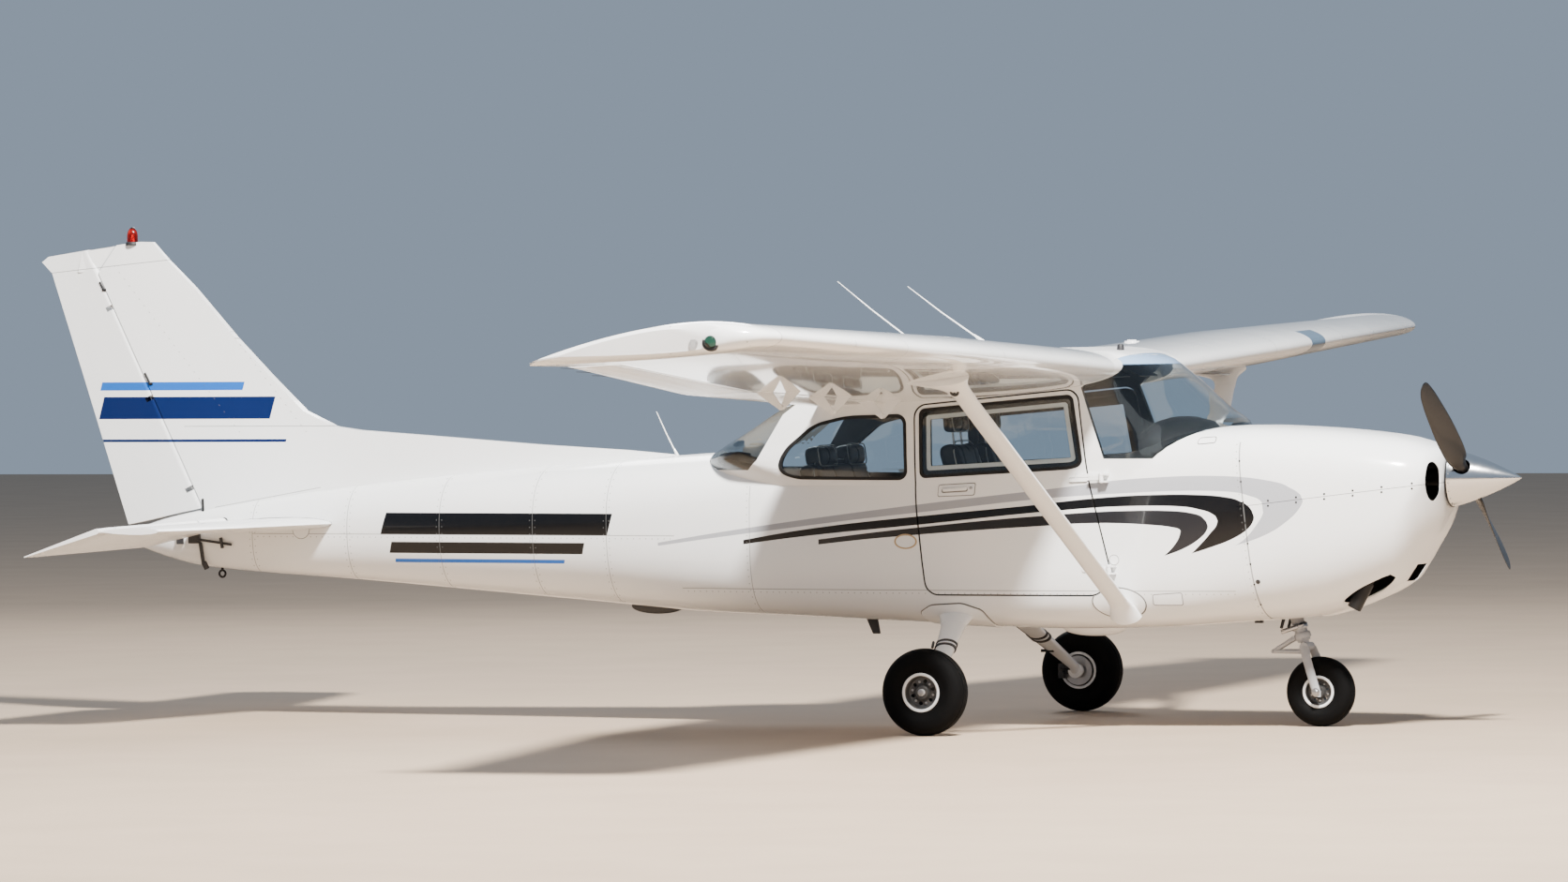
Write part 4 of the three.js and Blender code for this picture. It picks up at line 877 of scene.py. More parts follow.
def keep_largest(piece):
    """Drops the slivers that a cut leaves beside a piece."""
    bm = bmesh.new()
    bm.from_mesh(piece.data)
    bm.verts.ensure_lookup_table()
    left, islands = set(bm.verts), []
    while left:
        island, edge = set(), [left.pop()]
        while edge:
            vert = edge.pop()
            island.add(vert)
            near = {e.other_vert(vert) for e in vert.link_edges} & left
            left -= near
            edge.extend(near)
        islands.append(island)
    biggest = max(islands, key=len)
    bmesh.ops.delete(bm, geom=[v for v in bm.verts if v not in biggest], context="VERTS")
    bm.to_mesh(piece.data)
    bm.free()
    return piece


roof = new_object(loft([wing_ring((y, *WING[0][1:])) for y in (-WING[0][0] + FIT, WING[0][0] - FIT)]), "roof")
outer = carve(carve(body_and_upper(0), roof, "UNION"), nose_space())
room = number_faces(carve(body_and_upper(WALL), nose_space(-12)), 1)
number_faces(outer, 0)
hollow = carve(copy_of(outer), room, keep=True)
print("cabin wall:", len(hollow.data.polygons), "faces, numbers", {f.material_index for f in hollow.data.polygons})

# %% [markdown]
# ## Doors and windows
# Each opening is drawn once. The door is what the outline keeps of the wall, the opening in the shell is the
# same outline grown by the running gap, and the window panes are cut from a thin skin of the same form.

# %% Outlines in side view
DOOR = [(2110, 800), (2055, 690), (1110, 690), (1062, 1150), (1050, 1660), (1925, 1742), (1985, 1300)]
DOOR_WINDOW = [(1090, 1300), (1084, 1636), (1895, 1706), (1952, 1365), (1900, 1345)]
SIDE_WINDOW = [(302, 1332), (335, 1425), (500, 1560), (670, 1600), (990, 1610), (1000, 1290), (385, 1294)]
BAGGAGE_DOOR = [(640, 760), (180, 780), (180, 1200), (640, 1200)]
WINDSHIELD = [(2075, 1388), (1948, 1752), (2120, 1905), (2230, 1960), (3100, 1960), (3100, 1388)]
REAR_WINDOW = [(120, 1330), (180, 1382), (325, 1620), (450, 1712), (-500, 1712), (-500, 1330)]
ROUND = {"door": 60, "door_window": 50, "side_window": 45, "baggage": 50}
SIDES = {"starboard": (-800, -350), "port": (350, 800)}
ACROSS = (-800, 800)

# %% Cut the shell and its doors
shell = copy_of(hollow)
for side, depth in SIDES.items():
    # The cut faces round each opening carry number 1, the dark trim. Round the door it stands for the rubber seal and
    # also paints shade into the running gap.
    carve(shell, number_faces(slab(grown(DOOR, GAP), depth, ROUND["door"] + GAP), 1))
    carve(shell, number_faces(slab(SIDE_WINDOW, depth, ROUND["side_window"]), 1))
carve(shell, slab(grown(BAGGAGE_DOOR, GAP), SIDES["port"], ROUND["baggage"] + GAP))
for outline in (WINDSHIELD, REAR_WINDOW):
    opening = carve(number_faces(slab(outline, ACROSS), 1), upper_solid(-0.5), "INTERSECT")
    carve(opening, block((-500, 500), ACROSS, (1000, REAR_WINDOW[0][1])))
    # What stays under the glass lies a little below the skin, so that its edge is a clean one.
    carve(shell, carve(opening, number_faces(body_solid(FIT, CABIN_END, 2900), 1)))

doors = {}
for side, depth in SIDES.items():
    # The door's own edges carry number 1 as well: dark trim for the seal, and painted shade in the gap.
    door = carve(copy_of(hollow), number_faces(slab(DOOR, depth, ROUND["door"]), 1), "INTERSECT")
    doors[side] = carve(door, slab(DOOR_WINDOW, depth, ROUND["door_window"]))
baggage = carve(copy_of(hollow), slab(BAGGAGE_DOOR, SIDES["port"], ROUND["baggage"]), "INTERSECT")

CABIN_WINDOWS = (  # what the glass and the seal are called, outline and rounding
    ("door_glass", "door_seal", DOOR_WINDOW, ROUND["door_window"]),
    ("side_window", "side_seal", SIDE_WINDOW, ROUND["side_window"]),
)
glass_wall = carve(body_and_upper(0), body_and_upper(GLASS))
panes = {}
for side, depth in SIDES.items():
    for glass_name, _, outline, rounding in CABIN_WINDOWS:
        tool = slab(grown(outline, -FIT), depth, rounding)
        panes[glass_name + "_" + side] = carve(tool, glass_wall, "INTERSECT", keep=True)
upper_glass = carve(upper_solid(0), upper_solid(GLASS))
for name, outline in (("windshield", WINDSHIELD), ("rear_window", REAR_WINDOW)):
    pane = carve(slab(grown(outline, -FIT), ACROSS), upper_glass, "INTERSECT", keep=True)
    panes[name] = keep_largest(carve(pane, body_solid(-1, CABIN_END, 2900)))
print("panes:", {name: len(pane.data.polygons) for name, pane in panes.items()})

# %% Rubber seals and inner frames round the side windows
seal_wall = carve(body_and_upper(-2.5), body_and_upper(9))
frame_wall = carve(body_and_upper(9.5), body_and_upper(13))
band_wall = carve(body_and_upper(13.5), body_and_upper(26))
trims = {}
for side, depth in SIDES.items():
    for _, seal_name, outline, rounding in CABIN_WINDOWS:
        ring = carve(slab(grown(outline, 12), depth, rounding + 12), slab(grown(outline, -5), ACROSS, rounding - 5))
        trims[seal_name + "_" + side] = carve(ring, seal_wall, "INTERSECT", keep=True)
    ring = carve(
        slab(grown(DOOR_WINDOW, -26), depth, ROUND["door_window"] - 20),
        slab(grown(DOOR_WINDOW, -48), (-900, 900), ROUND["door_window"] - 30),
    )
    trims["window_frame_" + side] = carve(ring, frame_wall, "INTERSECT", keep=True)
    band = carve(
        slab(grown(DOOR_WINDOW, -3), depth, ROUND["door_window"] - 3),
        slab(grown(DOOR_WINDOW, -50), (-900, 900), ROUND["door_window"] - 30),
    )
    trims["window_band_" + side] = carve(band, band_wall, "INTERSECT", keep=True)
for spent in (outer, room, hollow, glass_wall, upper_glass, seal_wall, frame_wall, band_wall):
    bpy.data.objects.remove(spent)

# %% Hand over the cabin
hand_over(shell, "cabin_skin", "airframe", [body_paint, trim_plastic], ["cabin_shell"])
for side in SIDES:
    door_body = "door_" + side
    hand_over(doors[side], "door_panel_" + side, door_body, [body_paint, trim_plastic], ["door_" + side])
    for name in ("door_glass_", "side_window_"):
        body = door_body if name.startswith("door") else "airframe"
        hand_over(panes[name + side], name + "pane_" + side, body, [glass], [name + side])
    hand_over(trims["door_seal_" + side], "door_seal_" + side, door_body, [seal_rubber])
    hand_over(trims["side_seal_" + side], "side_seal_" + side, "airframe", [seal_rubber])
    hand_over(trims["window_frame_" + side], "window_frame_" + side, door_body, [plain_paint])
    hand_over(trims["window_band_" + side], "window_band_" + side, door_body, [seal_rubber])
hand_over(baggage, "baggage_panel", "baggage_door", [body_paint, trim_plastic], ["baggage_door"])
for name in ("windshield", "rear_window"):
    # Faces above 1.868 m get the tinted band with its painted sky reflection.
    for face in panes[name].data.polygons:
        face.material_index = int(face.center.z > 1.868)
    hand_over(panes[name], name + "_pane", "airframe", [glass, tint_and_painted_sky], [name])

# %% [markdown]
# ## The cowl and the tail cone
# The cowl is a thin moulding round the engine in an upper and a lower half, with two oval inlets beside the
# propeller, a slot for the carburettor under them, and an outlet below. The tail cone is the same body form
# behind the cabin.


# %% Round tools
def rod(a, b, radius, radius_to=None, sides=32, ease=0.0, name="rod"):
    """A round bar between two places, in millimetres, its rims eased by a small bevel."""
    a, b = Vector(a) * MM, Vector(b) * MM
    bm = bmesh.new()
    radii = (radius * MM, (radius if radius_to is None else radius_to) * MM)
    bmesh.ops.create_cone(
        bm, cap_ends=True, segments=sides, radius1=radii[0], radius2=radii[1], depth=(b - a).length,
    )
    if ease:
        rims = [e for e in bm.edges if e.calc_face_angle(0) > 1.0]
        bmesh.ops.bevel(bm, geom=rims, offset=ease * MM, segments=3, profile=0.5, affect="EDGES", material=-1)
    turn = Vector((0, 0, 1)).rotation_difference(b - a)
    bmesh.ops.rotate(bm, verts=bm.verts, matrix=turn.to_matrix())
    bmesh.ops.translate(bm, verts=bm.verts, vec=(a + b) / 2)
    return new_object(bm, name)


def joined(pieces):
    """Several separate solids as one object."""
    bm = bmesh.new()
    for piece in pieces:
        bm.from_mesh(piece.data)
        bpy.data.objects.remove(piece)
    return new_object(bm, "joined")


def fused(pieces):
    first, *others = pieces
    for other in others:
        carve(first, other, "UNION")
    return first


# %% Cowl halves
cowl_inside = speckled("cowl_inside", (0.06, 0.06, 0.06), 0.8, 80, 0.0002)
lining = number_faces(body_solid(SKIN, 2500, NOSE_END - SKIN), 1)
cowl = carve(number_faces(body_solid(0, 2600, NOSE_END), 0), lining)
carve(cowl, rear_space(FIT))
INLET = {"y": 262, "z": 1266, "wide": 74, "high": 100}
for side in (-1, 1):
    oval = rod((3610, 0, 0), (3910, 0, 0), 1, name="oval")
    for vert in oval.data.vertices:
        vert.co.y = vert.co.y / MM * INLET["wide"] * MM + side * INLET["y"] * MM
        vert.co.z = vert.co.z / MM * INLET["high"] * MM + INLET["z"] * MM
    carve(cowl, oval)
carve(cowl, slab([(3450, 752), (3800, 752), (3800, 838), (3450, 838)], (-95, 95)))
carve(cowl, rod((3600, 0, 1278), (3900, 0, 1278), 70))
carve(cowl, rod((3480, -236, 820), (3260, -262, 520), 72))
carve(cowl, block((2800, 3120), (-150, 150), (400, 640)))
SPLIT = [(2600, 1120), (3900, 1272)]
split_gap = 2.4
above = slab([(x, z + split_gap / 2) for x, z in SPLIT] + [(3900, 2000), (2600, 2000)], (-900, 900))
below = slab([(x, z - split_gap / 2) for x, z in SPLIT] + [(3900, 0), (2600, 0)], (-900, 900))
cowl_upper = carve(copy_of(cowl), above, "INTERSECT")
cowl_lower = carve(cowl, below, "INTERSECT")
hand_over(cowl_upper, "cowl_top", "airframe", [body_paint, cowl_inside], ["cowl_upper"])
hand_over(cowl_lower, "cowl_bottom", "airframe", [body_paint, cowl_inside], ["cowl_lower"])

# %% Tail cone
TAIL_HINGE = (-3040, 1040)
STABILISER = [(0, -2360, -3025, 62), (250, -2372, -3025, 62), (1500, -2610, -3025, 44), (1690, -2700, -3025, 34)]


def plane_ring(y, front, rear, thick, z, count=32):
    ring = []
    for i in range(count):
        angle = i * math.tau / count
        x = (front + rear) / 2 + (front - rear) / 2 * math.cos(angle)
        ring.append(Vector((x, y, z + thick / 2 * math.sin(angle) * (1 + 0.25 * math.cos(angle)))) * MM)
    return ring


both_ways = [(-y, *rest) for y, *rest in reversed(STABILISER[1:])] + STABILISER
slot = [plane_ring(y, front + 1, rear - 1, thick + 2, TAIL_HINGE[1]) for y, front, rear, thick in both_ways]
tail = body_solid(0, BODY_END, CABIN_END - FIT)
carve(tail, new_object(loft(slot), "slot"))
carve(tail, rod((TAIL_HINGE[0], -300, TAIL_HINGE[1]), (TAIL_HINGE[0], 300, TAIL_HINGE[1]), 30))
hand_over(tail, "tail_skin", "airframe", [body_paint], ["tail_cone"])

# %% [markdown]
# ## Wings
# The wing is one skin through its sections. The flap and the aileron are what a wedge behind the pivot line
# keeps of that skin, with a round nose, so they close flush. Their sheets are stiffened by pressed beads that
# run fore and aft, which is why their rows of sections are close together.

# %% Wing panels and moving surfaces
FLAP = {"from": 600, "to": 2530, "ahead": 0.76}
AILERON = {"from": 2550, "to": 5200, "ahead": 0.79}
BEAD = {"pitch": 92, "high": 2.6, "half": 11}


def mirrored_ring(ring, side):
    return [Vector((p.x, p.y * side, p.z)) for p in ring]


def wing_skin(side):
    tip = smooth_rows(WING[2:], steps_between(WING[2][0], WING[-1][0], 14))
    rows = [WING[0], WING[1], *tip]
    return new_object(loft([mirrored_ring(wing_ring(row), side) for row in rows]), "wing_skin")


def beaded_skin(side, low, high):
    rows = [(low - 40, 0.0)]
    centre = low + BEAD["pitch"] / 2
    while centre < high - BEAD["half"]:
        half = BEAD["half"]
        for off, share in ((-half, 0), (-half / 2, 0.6), (0, 1), (half / 2, 0.6), (half, 0)):
            rows.append((centre + off, share * BEAD["high"]))
        centre += BEAD["pitch"]
    rows.append((min(high + 40, WING[2][0]), 0.0))
    rings = [mirrored_ring(wing_ring(wing_row_at(y), lift), side) for y, lift in rows]
    return new_object(loft(rings), "beaded_skin")


def wedge(surface, side, gap=0, beyond=0):
    """The space behind a pivot line, with round stock about the line."""
    a, b = (wing_point(surface[k], surface["ahead"]) for k in ("from", "to"))
    rings = []
    for p, q in ((a, b), (b, a)):
        run = abs(p[1] - q[1])
        x, y, z = (p[k] + (p[k] - q[k]) * beyond / run for k in range(3))
        radius = p[3] * 0.985 + gap
        nose = [math.pi / 2 - i * math.pi / 16 for i in range(17)]
        ring = [(x - 900, z + 200), (x, z + 200)]
        ring += [(x + radius * math.cos(t), z + radius * math.sin(t)) for t in nose]
        ring += [(x, z - 200), (x - 900, z - 200)]
        rings.append([Vector((px, y * side, pz)) * MM for px, pz in ring])
    return new_object(loft(rings), "wedge")


for name, side in BOTH_SIDES:
    wing = wing_skin(side)
    for part, surface in (("flap", FLAP), ("aileron", AILERON)):
        carve(wing, wedge(surface, side, GAP, 2 * GAP))
        moving = carve(beaded_skin(side, surface["from"], surface["to"]), wedge(surface, side), "INTERSECT")
        node = f"{part}_{name}"
        hand_over(moving, f"{part}_skin_{name}", node, [wing_paint], [node], sharp=40)
    hand_over(wing, f"wing_skin_{name}", "airframe", [wing_paint], [f"wing_{name}"])

# %% [markdown]
# ## Skins that keep the CAD's own facets
# The fin and the tailplane are nearly flat, so the CAD's facets already give
# the right outline. A copy of each is merged and its soft edges are shaded smooth.

# %% Smooth copies
body_of = {node: body for body, members in frame["record"]["behaviour"]["bodies"].items() for node in members}


def smooth_copy(node, materials, sharp=36):
    made = bpy.data.objects.new(node, nodes[node].data.copy())
    bpy.context.scene.collection.objects.link(made)
    bm = bmesh.new()
    bm.from_mesh(made.data)
    bmesh.ops.remove_doubles(bm, verts=bm.verts, dist=3e-5)
    bmesh.ops.dissolve_limit(bm, verts=bm.verts, edges=bm.edges, angle_limit=math.radians(0.4))
    bm.to_mesh(made.data)
    bm.free()
    return hand_over(made, node + "_smooth", body_of[node], materials, [node], sharp)


for node in ("fin", "rudder"):
    smooth_copy(node, [fin_paint])
# The rudder's top reaches forward of its axis over a step in the fin, as a balance horn.
HORN = [(-3818, 2398), (-3714, 2538), (-3905, 2511), (-3930, 2398)]
NOSE_ARC = [i * math.pi / 8 - math.pi / 2 for i in range(9)]
horn = new_object(loft([
    [Vector((front - 8 + 8 * math.cos(a), half * 0.4 * math.sin(a), z)) * MM for a in NOSE_ARC]
    + [Vector((-3935, y, z)) * MM for y in (half, -half)]
    for z, front, half in ((2380, -3831, 26), (2560, -3698, 22))
]), "horn")
hand_over(carve(slab(HORN, (-60, 60), 6), horn, "INTERSECT"), "rudder_horn_top", "rudder", [fin_paint])
for node in ("stabiliser", "elevator"):
    smooth_copy(node, [plain_paint])

# %% [markdown]
# ## Wheels and tyres
# A wheel is a turned part: a lip that holds the tyre's bead, a dish that runs down to the hub, and lightening
# holes through the dish. A profile spun about the axle makes both the wheel and its tyre. The tyre has a
# rounded crown with running grooves, and a step where the side meets the tread.


# %% Turned pieces
def turned(profile, centre, axis, steps=72, ring=False, name="turned"):
    """Points of (along, out) spun about an axis through a place, in millimetres. A ring's profile is closed."""
    bm = bmesh.new()
    verts = [bm.verts.new((out * MM, 0, along * MM)) for along, out in profile]
    pairs = list(zip(verts, verts[1:])) + ([(verts[-1], verts[0])] if ring else [])
    edges = [bm.edges.new(pair) for pair in pairs]
    bmesh.ops.spin(
        bm, geom=verts + edges, cent=(0, 0, 0), axis=(0, 0, 1), angle=math.tau, steps=steps, use_merge=True,
    )
    bmesh.ops.remove_doubles(bm, verts=bm.verts, dist=1e-6)
    bmesh.ops.recalc_face_normals(bm, faces=bm.faces)
    turn = Vector((0, 0, 1)).rotation_difference(Vector(axis))
    bmesh.ops.rotate(bm, verts=bm.verts, matrix=turn.to_matrix())
    bmesh.ops.translate(bm, verts=bm.verts, vec=Vector(centre) * MM)
    return new_object(bm, name)


def both_faces(half_profile):
    """A closed profile from its half on the outer side."""
    return half_profile + [(-along, out) for along, out in reversed(half_profile)]


# %% Wheels
MAIN_WHEEL = {"x": 1360, "y": 1276, "radius": 222, "half": 80, "rim": 88, "bore": 18.2}
NOSE_WHEEL = {"x": 3068, "y": 0, "radius": 180, "half": 63, "rim": 72, "bore": 12.2}
GROOVE = {"deep": 4.5, "half": 3.2}


def wheel_ring(rim, half, bore):
    w, r = half / 80, rim / 88
    lip = [(61 * w, rim), (64 * w, rim + 9), (67.5 * w, rim + 11.5), (71 * w, rim + 9), (71 * w, rim + 2)]
    dish = [(67 * w, 85 * r), (62 * w, 81 * r), (40 * w, 77 * r), (33 * w, 73 * r), (31 * w, 62 * r), (34 * w, 46 * r),
            (42 * w, 38 * r), (50 * w, 35 * r), (53 * w, 32 * r)]
    return both_faces(list(reversed([(0, rim)] + lip + dish + [(53 * w, bore)])))


def tyre_ring(radius, half, rim):
    middle = rim + (radius - rim) * 0.42
    steps = 40
    section = []
    for i in range(steps + 1):
        angle = -math.pi / 2 + i * math.pi / steps
        out = middle + (radius - middle) * abs(math.cos(angle)) ** 0.8
        along = half * math.copysign(abs(math.sin(angle)) ** (2 / 2.4), math.sin(angle))
        section.append((along, out))

    def out_at(along):
        (a0, o0), (a1, o1) = next((p, q) for p, q in zip(section, section[1:]) if q[0] >= along)
        return o0 + (o1 - o0) * (along - a0) / max(a1 - a0, 1e-6)

    grooves = [-0.42, -0.14, 0.14, 0.42]
    groove = [(share * GROOVE["half"], deep * GROOVE["deep"]) for share, deep in ((-1, 0), (-0.7, 1), (0.7, 1), (1, 0))]
    tread = []
    for centre in (g * half for g in grooves):
        tread += [(centre + off, out_at(centre + off) - deep) for off, deep in groove]
    plain = [p for p in section if not any(abs(p[0] - g * half) <= GROOVE["half"] for g in grooves)]
    outer = sorted(plain[1:-1] + tread)
    foot = [(-half * 0.80, rim + 12.0), (-half * 0.74, rim + 1.5)]
    return foot[::-1] + [(-half * 0.93, middle - 14)] + [section[0]] + outer + [section[-1]] + \
        [(half * 0.93, middle - 14)] + [(-a, o) for a, o in foot]


BOLT_CIRCLE, HOLE_RADIUS, BOLT_RADIUS = (size / 88 for size in (56, 10.5, 6.5))  # as shares of the rim's radius


def wheel_and_tyre(sizes, y, outward, wheel_name, tyre_name, holes):
    """A wheel, its bolts and its tyre. All three ride on the body that is called after the wheel."""
    x, radius, half, rim, bore = (sizes[k] for k in ("x", "radius", "half", "rim", "bore"))
    axis = (0, outward, 0)
    wheel = turned(wheel_ring(rim, half, bore), (x, y, radius), axis, ring=True)

    def around(shift):
        """The places on the wheel's disc, one for each hole, turned on by a share of their step."""
        angles = [math.tau * (i + shift) / holes for i in range(holes)]
        circle = BOLT_CIRCLE * rim
        return [(x + circle * math.cos(angle), radius + circle * math.sin(angle)) for angle in angles]

    for hole_x, hole_z in around(0.3):
        carve(wheel, rod((hole_x, y - 90, hole_z), (hole_x, y + 90, hole_z), HOLE_RADIUS * rim, sides=24))
    number_faces(wheel, 0)
    # The dish inside the lip takes the dark metal, painted shade in the recess.
    hub = Vector((x, y, radius)) * MM
    for face in wheel.data.polygons:
        off = face.center - hub
        face.material_index = int(math.hypot(off.x, off.z) < 0.97 * rim * MM)
    finishes = [wheel_paint, wheel_dark]
    hand_over(wheel, wheel_name + "_cast", wheel_name, finishes, [wheel_name], sharp=28)
    tyre = turned(tyre_ring(radius, half, rim), (x, y, radius), axis, steps=96, ring=True)
    hand_over(tyre, tyre_name + "_grooved", wheel_name, [tyre_rubber], [tyre_name], sharp=38)

    bolts = []
    for bolt_x, bolt_z in around(0.8):
        for face in (-1, 1):
            foot = y + face * 31.5 * half / 80
            tip = (bolt_x, foot + face * 7, bolt_z)
            bolts.append(rod((bolt_x, foot, bolt_z), tip, BOLT_RADIUS * rim, sides=6, ease=0.8))
    hand_over(joined(bolts), wheel_name + "_bolts", wheel_name, [bare_steel])


for name, side in BOTH_SIDES:
    wheel_and_tyre(MAIN_WHEEL, side * MAIN_WHEEL["y"], side, "main_wheel_" + name, "main_tyre_" + name, 6)
wheel_and_tyre(NOSE_WHEEL, 0, 1, "nose_wheel", "nose_tyre", 5)

# %% [markdown]
# ## Brakes and axle ends
# A steel disc turns with each main wheel between the leg and the tyre. The caliper that grips it is bolted to
# the leg. A grease cap and a nut close the axle on the outer side.

# %% Discs, calipers and caps
for name, side in BOTH_SIDES:
    x, y, z = MAIN_WHEEL["x"], MAIN_WHEEL["y"], MAIN_WHEEL["radius"]
    disc = [(-46, 18.4), (-46, 33), (-69, 33), (-69, 78), (-77, 78), (-77, 30), (-80, 30), (-80, 18.4)]
    disc = turned(disc, (x, side * y, z), (0, side, 0), ring=True)
    hand_over(disc, f"brake_disc_{name}", f"main_wheel_{name}", [bare_steel])
    inboard = y - 92
    caliper = fused([
        block((x - 100, x - 58), side_span(side, inboard - 20, inboard + 6), (z - 42, z + 36)),
        rod((x - 80, side * (inboard - 34), z + 12), (x - 80, side * inboard, z + 12), 17, ease=3),
        rod((x - 80, side * (inboard - 34), z - 20), (x - 80, side * inboard, z - 20), 17, ease=3),
        block((x - 70, x - 20), side_span(side, inboard - 12, inboard - 4), (z - 20, z + 16)),
    ])
    hand_over(caliper, f"brake_caliper_{name}", "airframe", [dark_plastic])
    outer = side * y
    nut = fused([
        rod((x, outer + side * 54, z), (x, outer + side * 70, z), 17, sides=6, ease=1.2),
        rod((x, outer + side * 60, z), (x, outer + side * 66, z), 11),
    ])
    hand_over(nut, f"axle_nut_{name}", "airframe", [bare_steel])

# %% [markdown]
# ## The nose leg
# The nose strut slides in a tube. Two folding links behind it keep the fork in line with the tube, and a
# small damper lies beside it on the starboard side. The fork's arms taper down to the axle.

# %% Collar, links, damper and axle ends
LEG_HIGH, LEG_LOW = Vector((2862, 0, 790)), Vector((2980, 0, 440))
leg_line = (LEG_LOW - LEG_HIGH).normalized()


def on_leg(t, back=0, y=0):
    """A place on the leg's line, set back across it."""
    behind = Vector((leg_line.z, 0, -leg_line.x))
    return LEG_HIGH + (LEG_LOW - LEG_HIGH) * t + behind * back + Vector((0, y, 0))


smooth_copy("nose_leg", [gear_grey])
smooth_copy("nose_fork", [gear_grey])
DAMPER_SHARE, DAMPER_Y, COLLAR_SHARE = 0.79, -52, 0.925


def leg_band(share, half_long, inner, outer):
    """A band round the leg with eased edges."""
    profile = [(-half_long, inner), (-half_long, outer), (4 - half_long, outer + 2)]
    return turned(profile + [(-along, out) for along, out in reversed(profile)], on_leg(share), leg_line, ring=True)


clamp = leg_band(DAMPER_SHARE, 14, 34.5, 41)
damper_back, damper_neck, damper_end = (on_leg(DAMPER_SHARE, back, DAMPER_Y) for back in (86, -8, -40))
damper = [rod(damper_back, damper_neck, 12, ease=2), rod(damper_neck, damper_end, 5)]
lug = [block((2925, 2985), (-56, -38), (505, 522))]
hand_over(joined([clamp, *damper, *lug]), "nose_damper", "airframe", [bare_steel])

collar = leg_band(COLLAR_SHARE, 15, 34.6, 42)
apex, low_pivot = on_leg(1.0, 172), on_leg(1.13, 30)
links = []
for root in (on_leg(COLLAR_SHARE, 46), low_pivot):
    for side in (-1, 1):
        links.append(rod(root + Vector((0, side * 24, 0)), apex + Vector((0, side * 12, 0)), 12, 10, ease=1.5))
    links.append(rod(root + Vector((0, -33, 0)), root + Vector((0, 33, 0)), 12, ease=2))
links.append(rod(apex + Vector((0, -22, 0)), apex + Vector((0, 22, 0)), 10, ease=2))
links.append(rod(apex + Vector((0, -29, 0)), apex + Vector((0, 29, 0)), 5, sides=6))
hand_over(joined([collar, *links]), "torque_links", "nose_fork", [gear_grey])
x, z = NOSE_WHEEL["x"], NOSE_WHEEL["radius"]
nuts = [rod((x, side * 97, z), (x, side * 109, z), 15, sides=6, ease=1.2) for side in (-1, 1)]
nuts += [rod((x, side * 96, z), (x, side * 99, z), 22, ease=0.8) for side in (-1, 1)]
hand_over(joined(nuts), "nose_axle_nuts", "nose_fork", [bare_steel])

# %% [markdown]
# ## Propeller and spinner
# A metal blade twists from its round shank to a thin tip. The spinner is a polished cone that hides the hub,
# with a hole for each blade, and a black plate behind it carries its screws.

# %% Blades
SPIN_X, SPIN_Z, BLADE_X, BLADE_TURN = 3776, 1278, 3850, 60
BLADE = [  # distance out, chord, thickness and twist
    (20, 66, 66, 0), (118, 66, 62, 0), (190, 104, 42, 48), (300, 128, 30, 38), (520, 142, 21, 26),
    (760, 128, 14, 18), (900, 96, 9, 15), (940, 62, 7, 14), (952, 30, 5, 14),
]


def blade_ring(row, count=40):
    out, chord, thick, twist = row
    flat = max(0.0, min(1.0, (out - 110) / 120))
    turn = math.radians(twist)
    ring = []
    for i in range(count):
        angle = i * math.tau / count
        across = chord / 2 * math.cos(angle)
        through = thick / 2 * math.sin(angle) * (1 - flat * 0.28 * math.cos(angle))
        through *= 1 if math.sin(angle) > 0 else 1 - 0.45 * flat
        x = BLADE_X + through * math.cos(turn) + across * math.sin(turn)
        ring.append(Vector((x, across * math.cos(turn) - through * math.sin(turn), out)) * MM)
    return ring


def about_shaft(piece, degrees):
    """Turns a piece made round the shaft's line and lifts it to the shaft."""
    turn = Matrix.Translation((0, 0, SPIN_Z * MM)) @ Matrix.Rotation(math.radians(degrees), 4, "X")
    piece.data.transform(turn)
    return piece


blade_rows = smooth_rows(BLADE, steps_between(20, 900, 20) + [915, 928, 938, 945, 949, 952])
blades = [
    about_shaft(new_object(loft([blade_ring(row) for row in blade_rows]), "blade"), BLADE_TURN + turn)
    for turn in (0, 180)
]
hub = about_shaft(rod((3500.5, 0, 0), (3900, 0, 0), 46, sides=48, ease=4), 0)
propeller = fused([hub, *blades])
hand_over(propeller, "propeller_blades", "propeller", [blade_paint], ["propeller"], sharp=50)

# %% Spinner
SPIN_LONG, SPIN_RADIUS, SPIN_WALL = 364, 147, 5


def cone(inset, count):
    """The spinner's profile from its base to its tip."""
    profile = []
    for i in range(count + 1):
        u = 1 - (1 - i / count) ** 1.5
        profile.append(((SPIN_LONG - inset) * u, (SPIN_RADIUS - inset) * (1 - u**1.25) ** 0.9))
    return profile


wall = cone(0, 40) + [(along, out) for along, out in reversed(cone(SPIN_WALL, 40))]
shell = turned(wall, (SPIN_X, 0, SPIN_Z), (1, 0, 0), steps=96, ring=True)
for turn in (0, 180):
    carve(shell, about_shaft(rod((BLADE_X, 0, 60), (BLADE_X, 0, 300), 45, sides=48), BLADE_TURN + turn))
hand_over(shell, "spinner_shell", "propeller", [polished_metal], ["spinner"])
PLATE_PROFILE = [(-4, 47), (-4, 149), (-2, 150.5), (3, 150.5), (4, 149), (4, 142), (1, 140), (1, 47)]
plate = turned(PLATE_PROFILE, (SPIN_X, 0, SPIN_Z), (1, 0, 0), steps=96, ring=True)
hand_over(plate, "spinner_plate", "propeller", [blade_paint])
screws = []
for i in range(20):
    screw = rod((SPIN_X + 14, 0, 145.4), (SPIN_X + 14, 0, 148.2), 3.4, sides=12, ease=0.6)
    screws.append(about_shaft(screw, 9 + i * 18))
hand_over(joined(screws), "spinner_screws", "propeller", [bare_steel])

# %% [markdown]
# ## Struts, legs and their fairings
# The struts and the legs have streamlined sections. Where they meet the wing or the body, a thin fairing
# flares out over the joint and a plate lies on the skin. A plate is what a tool keeps of a thin layer over
# the body's skin, so it follows the curve exactly.


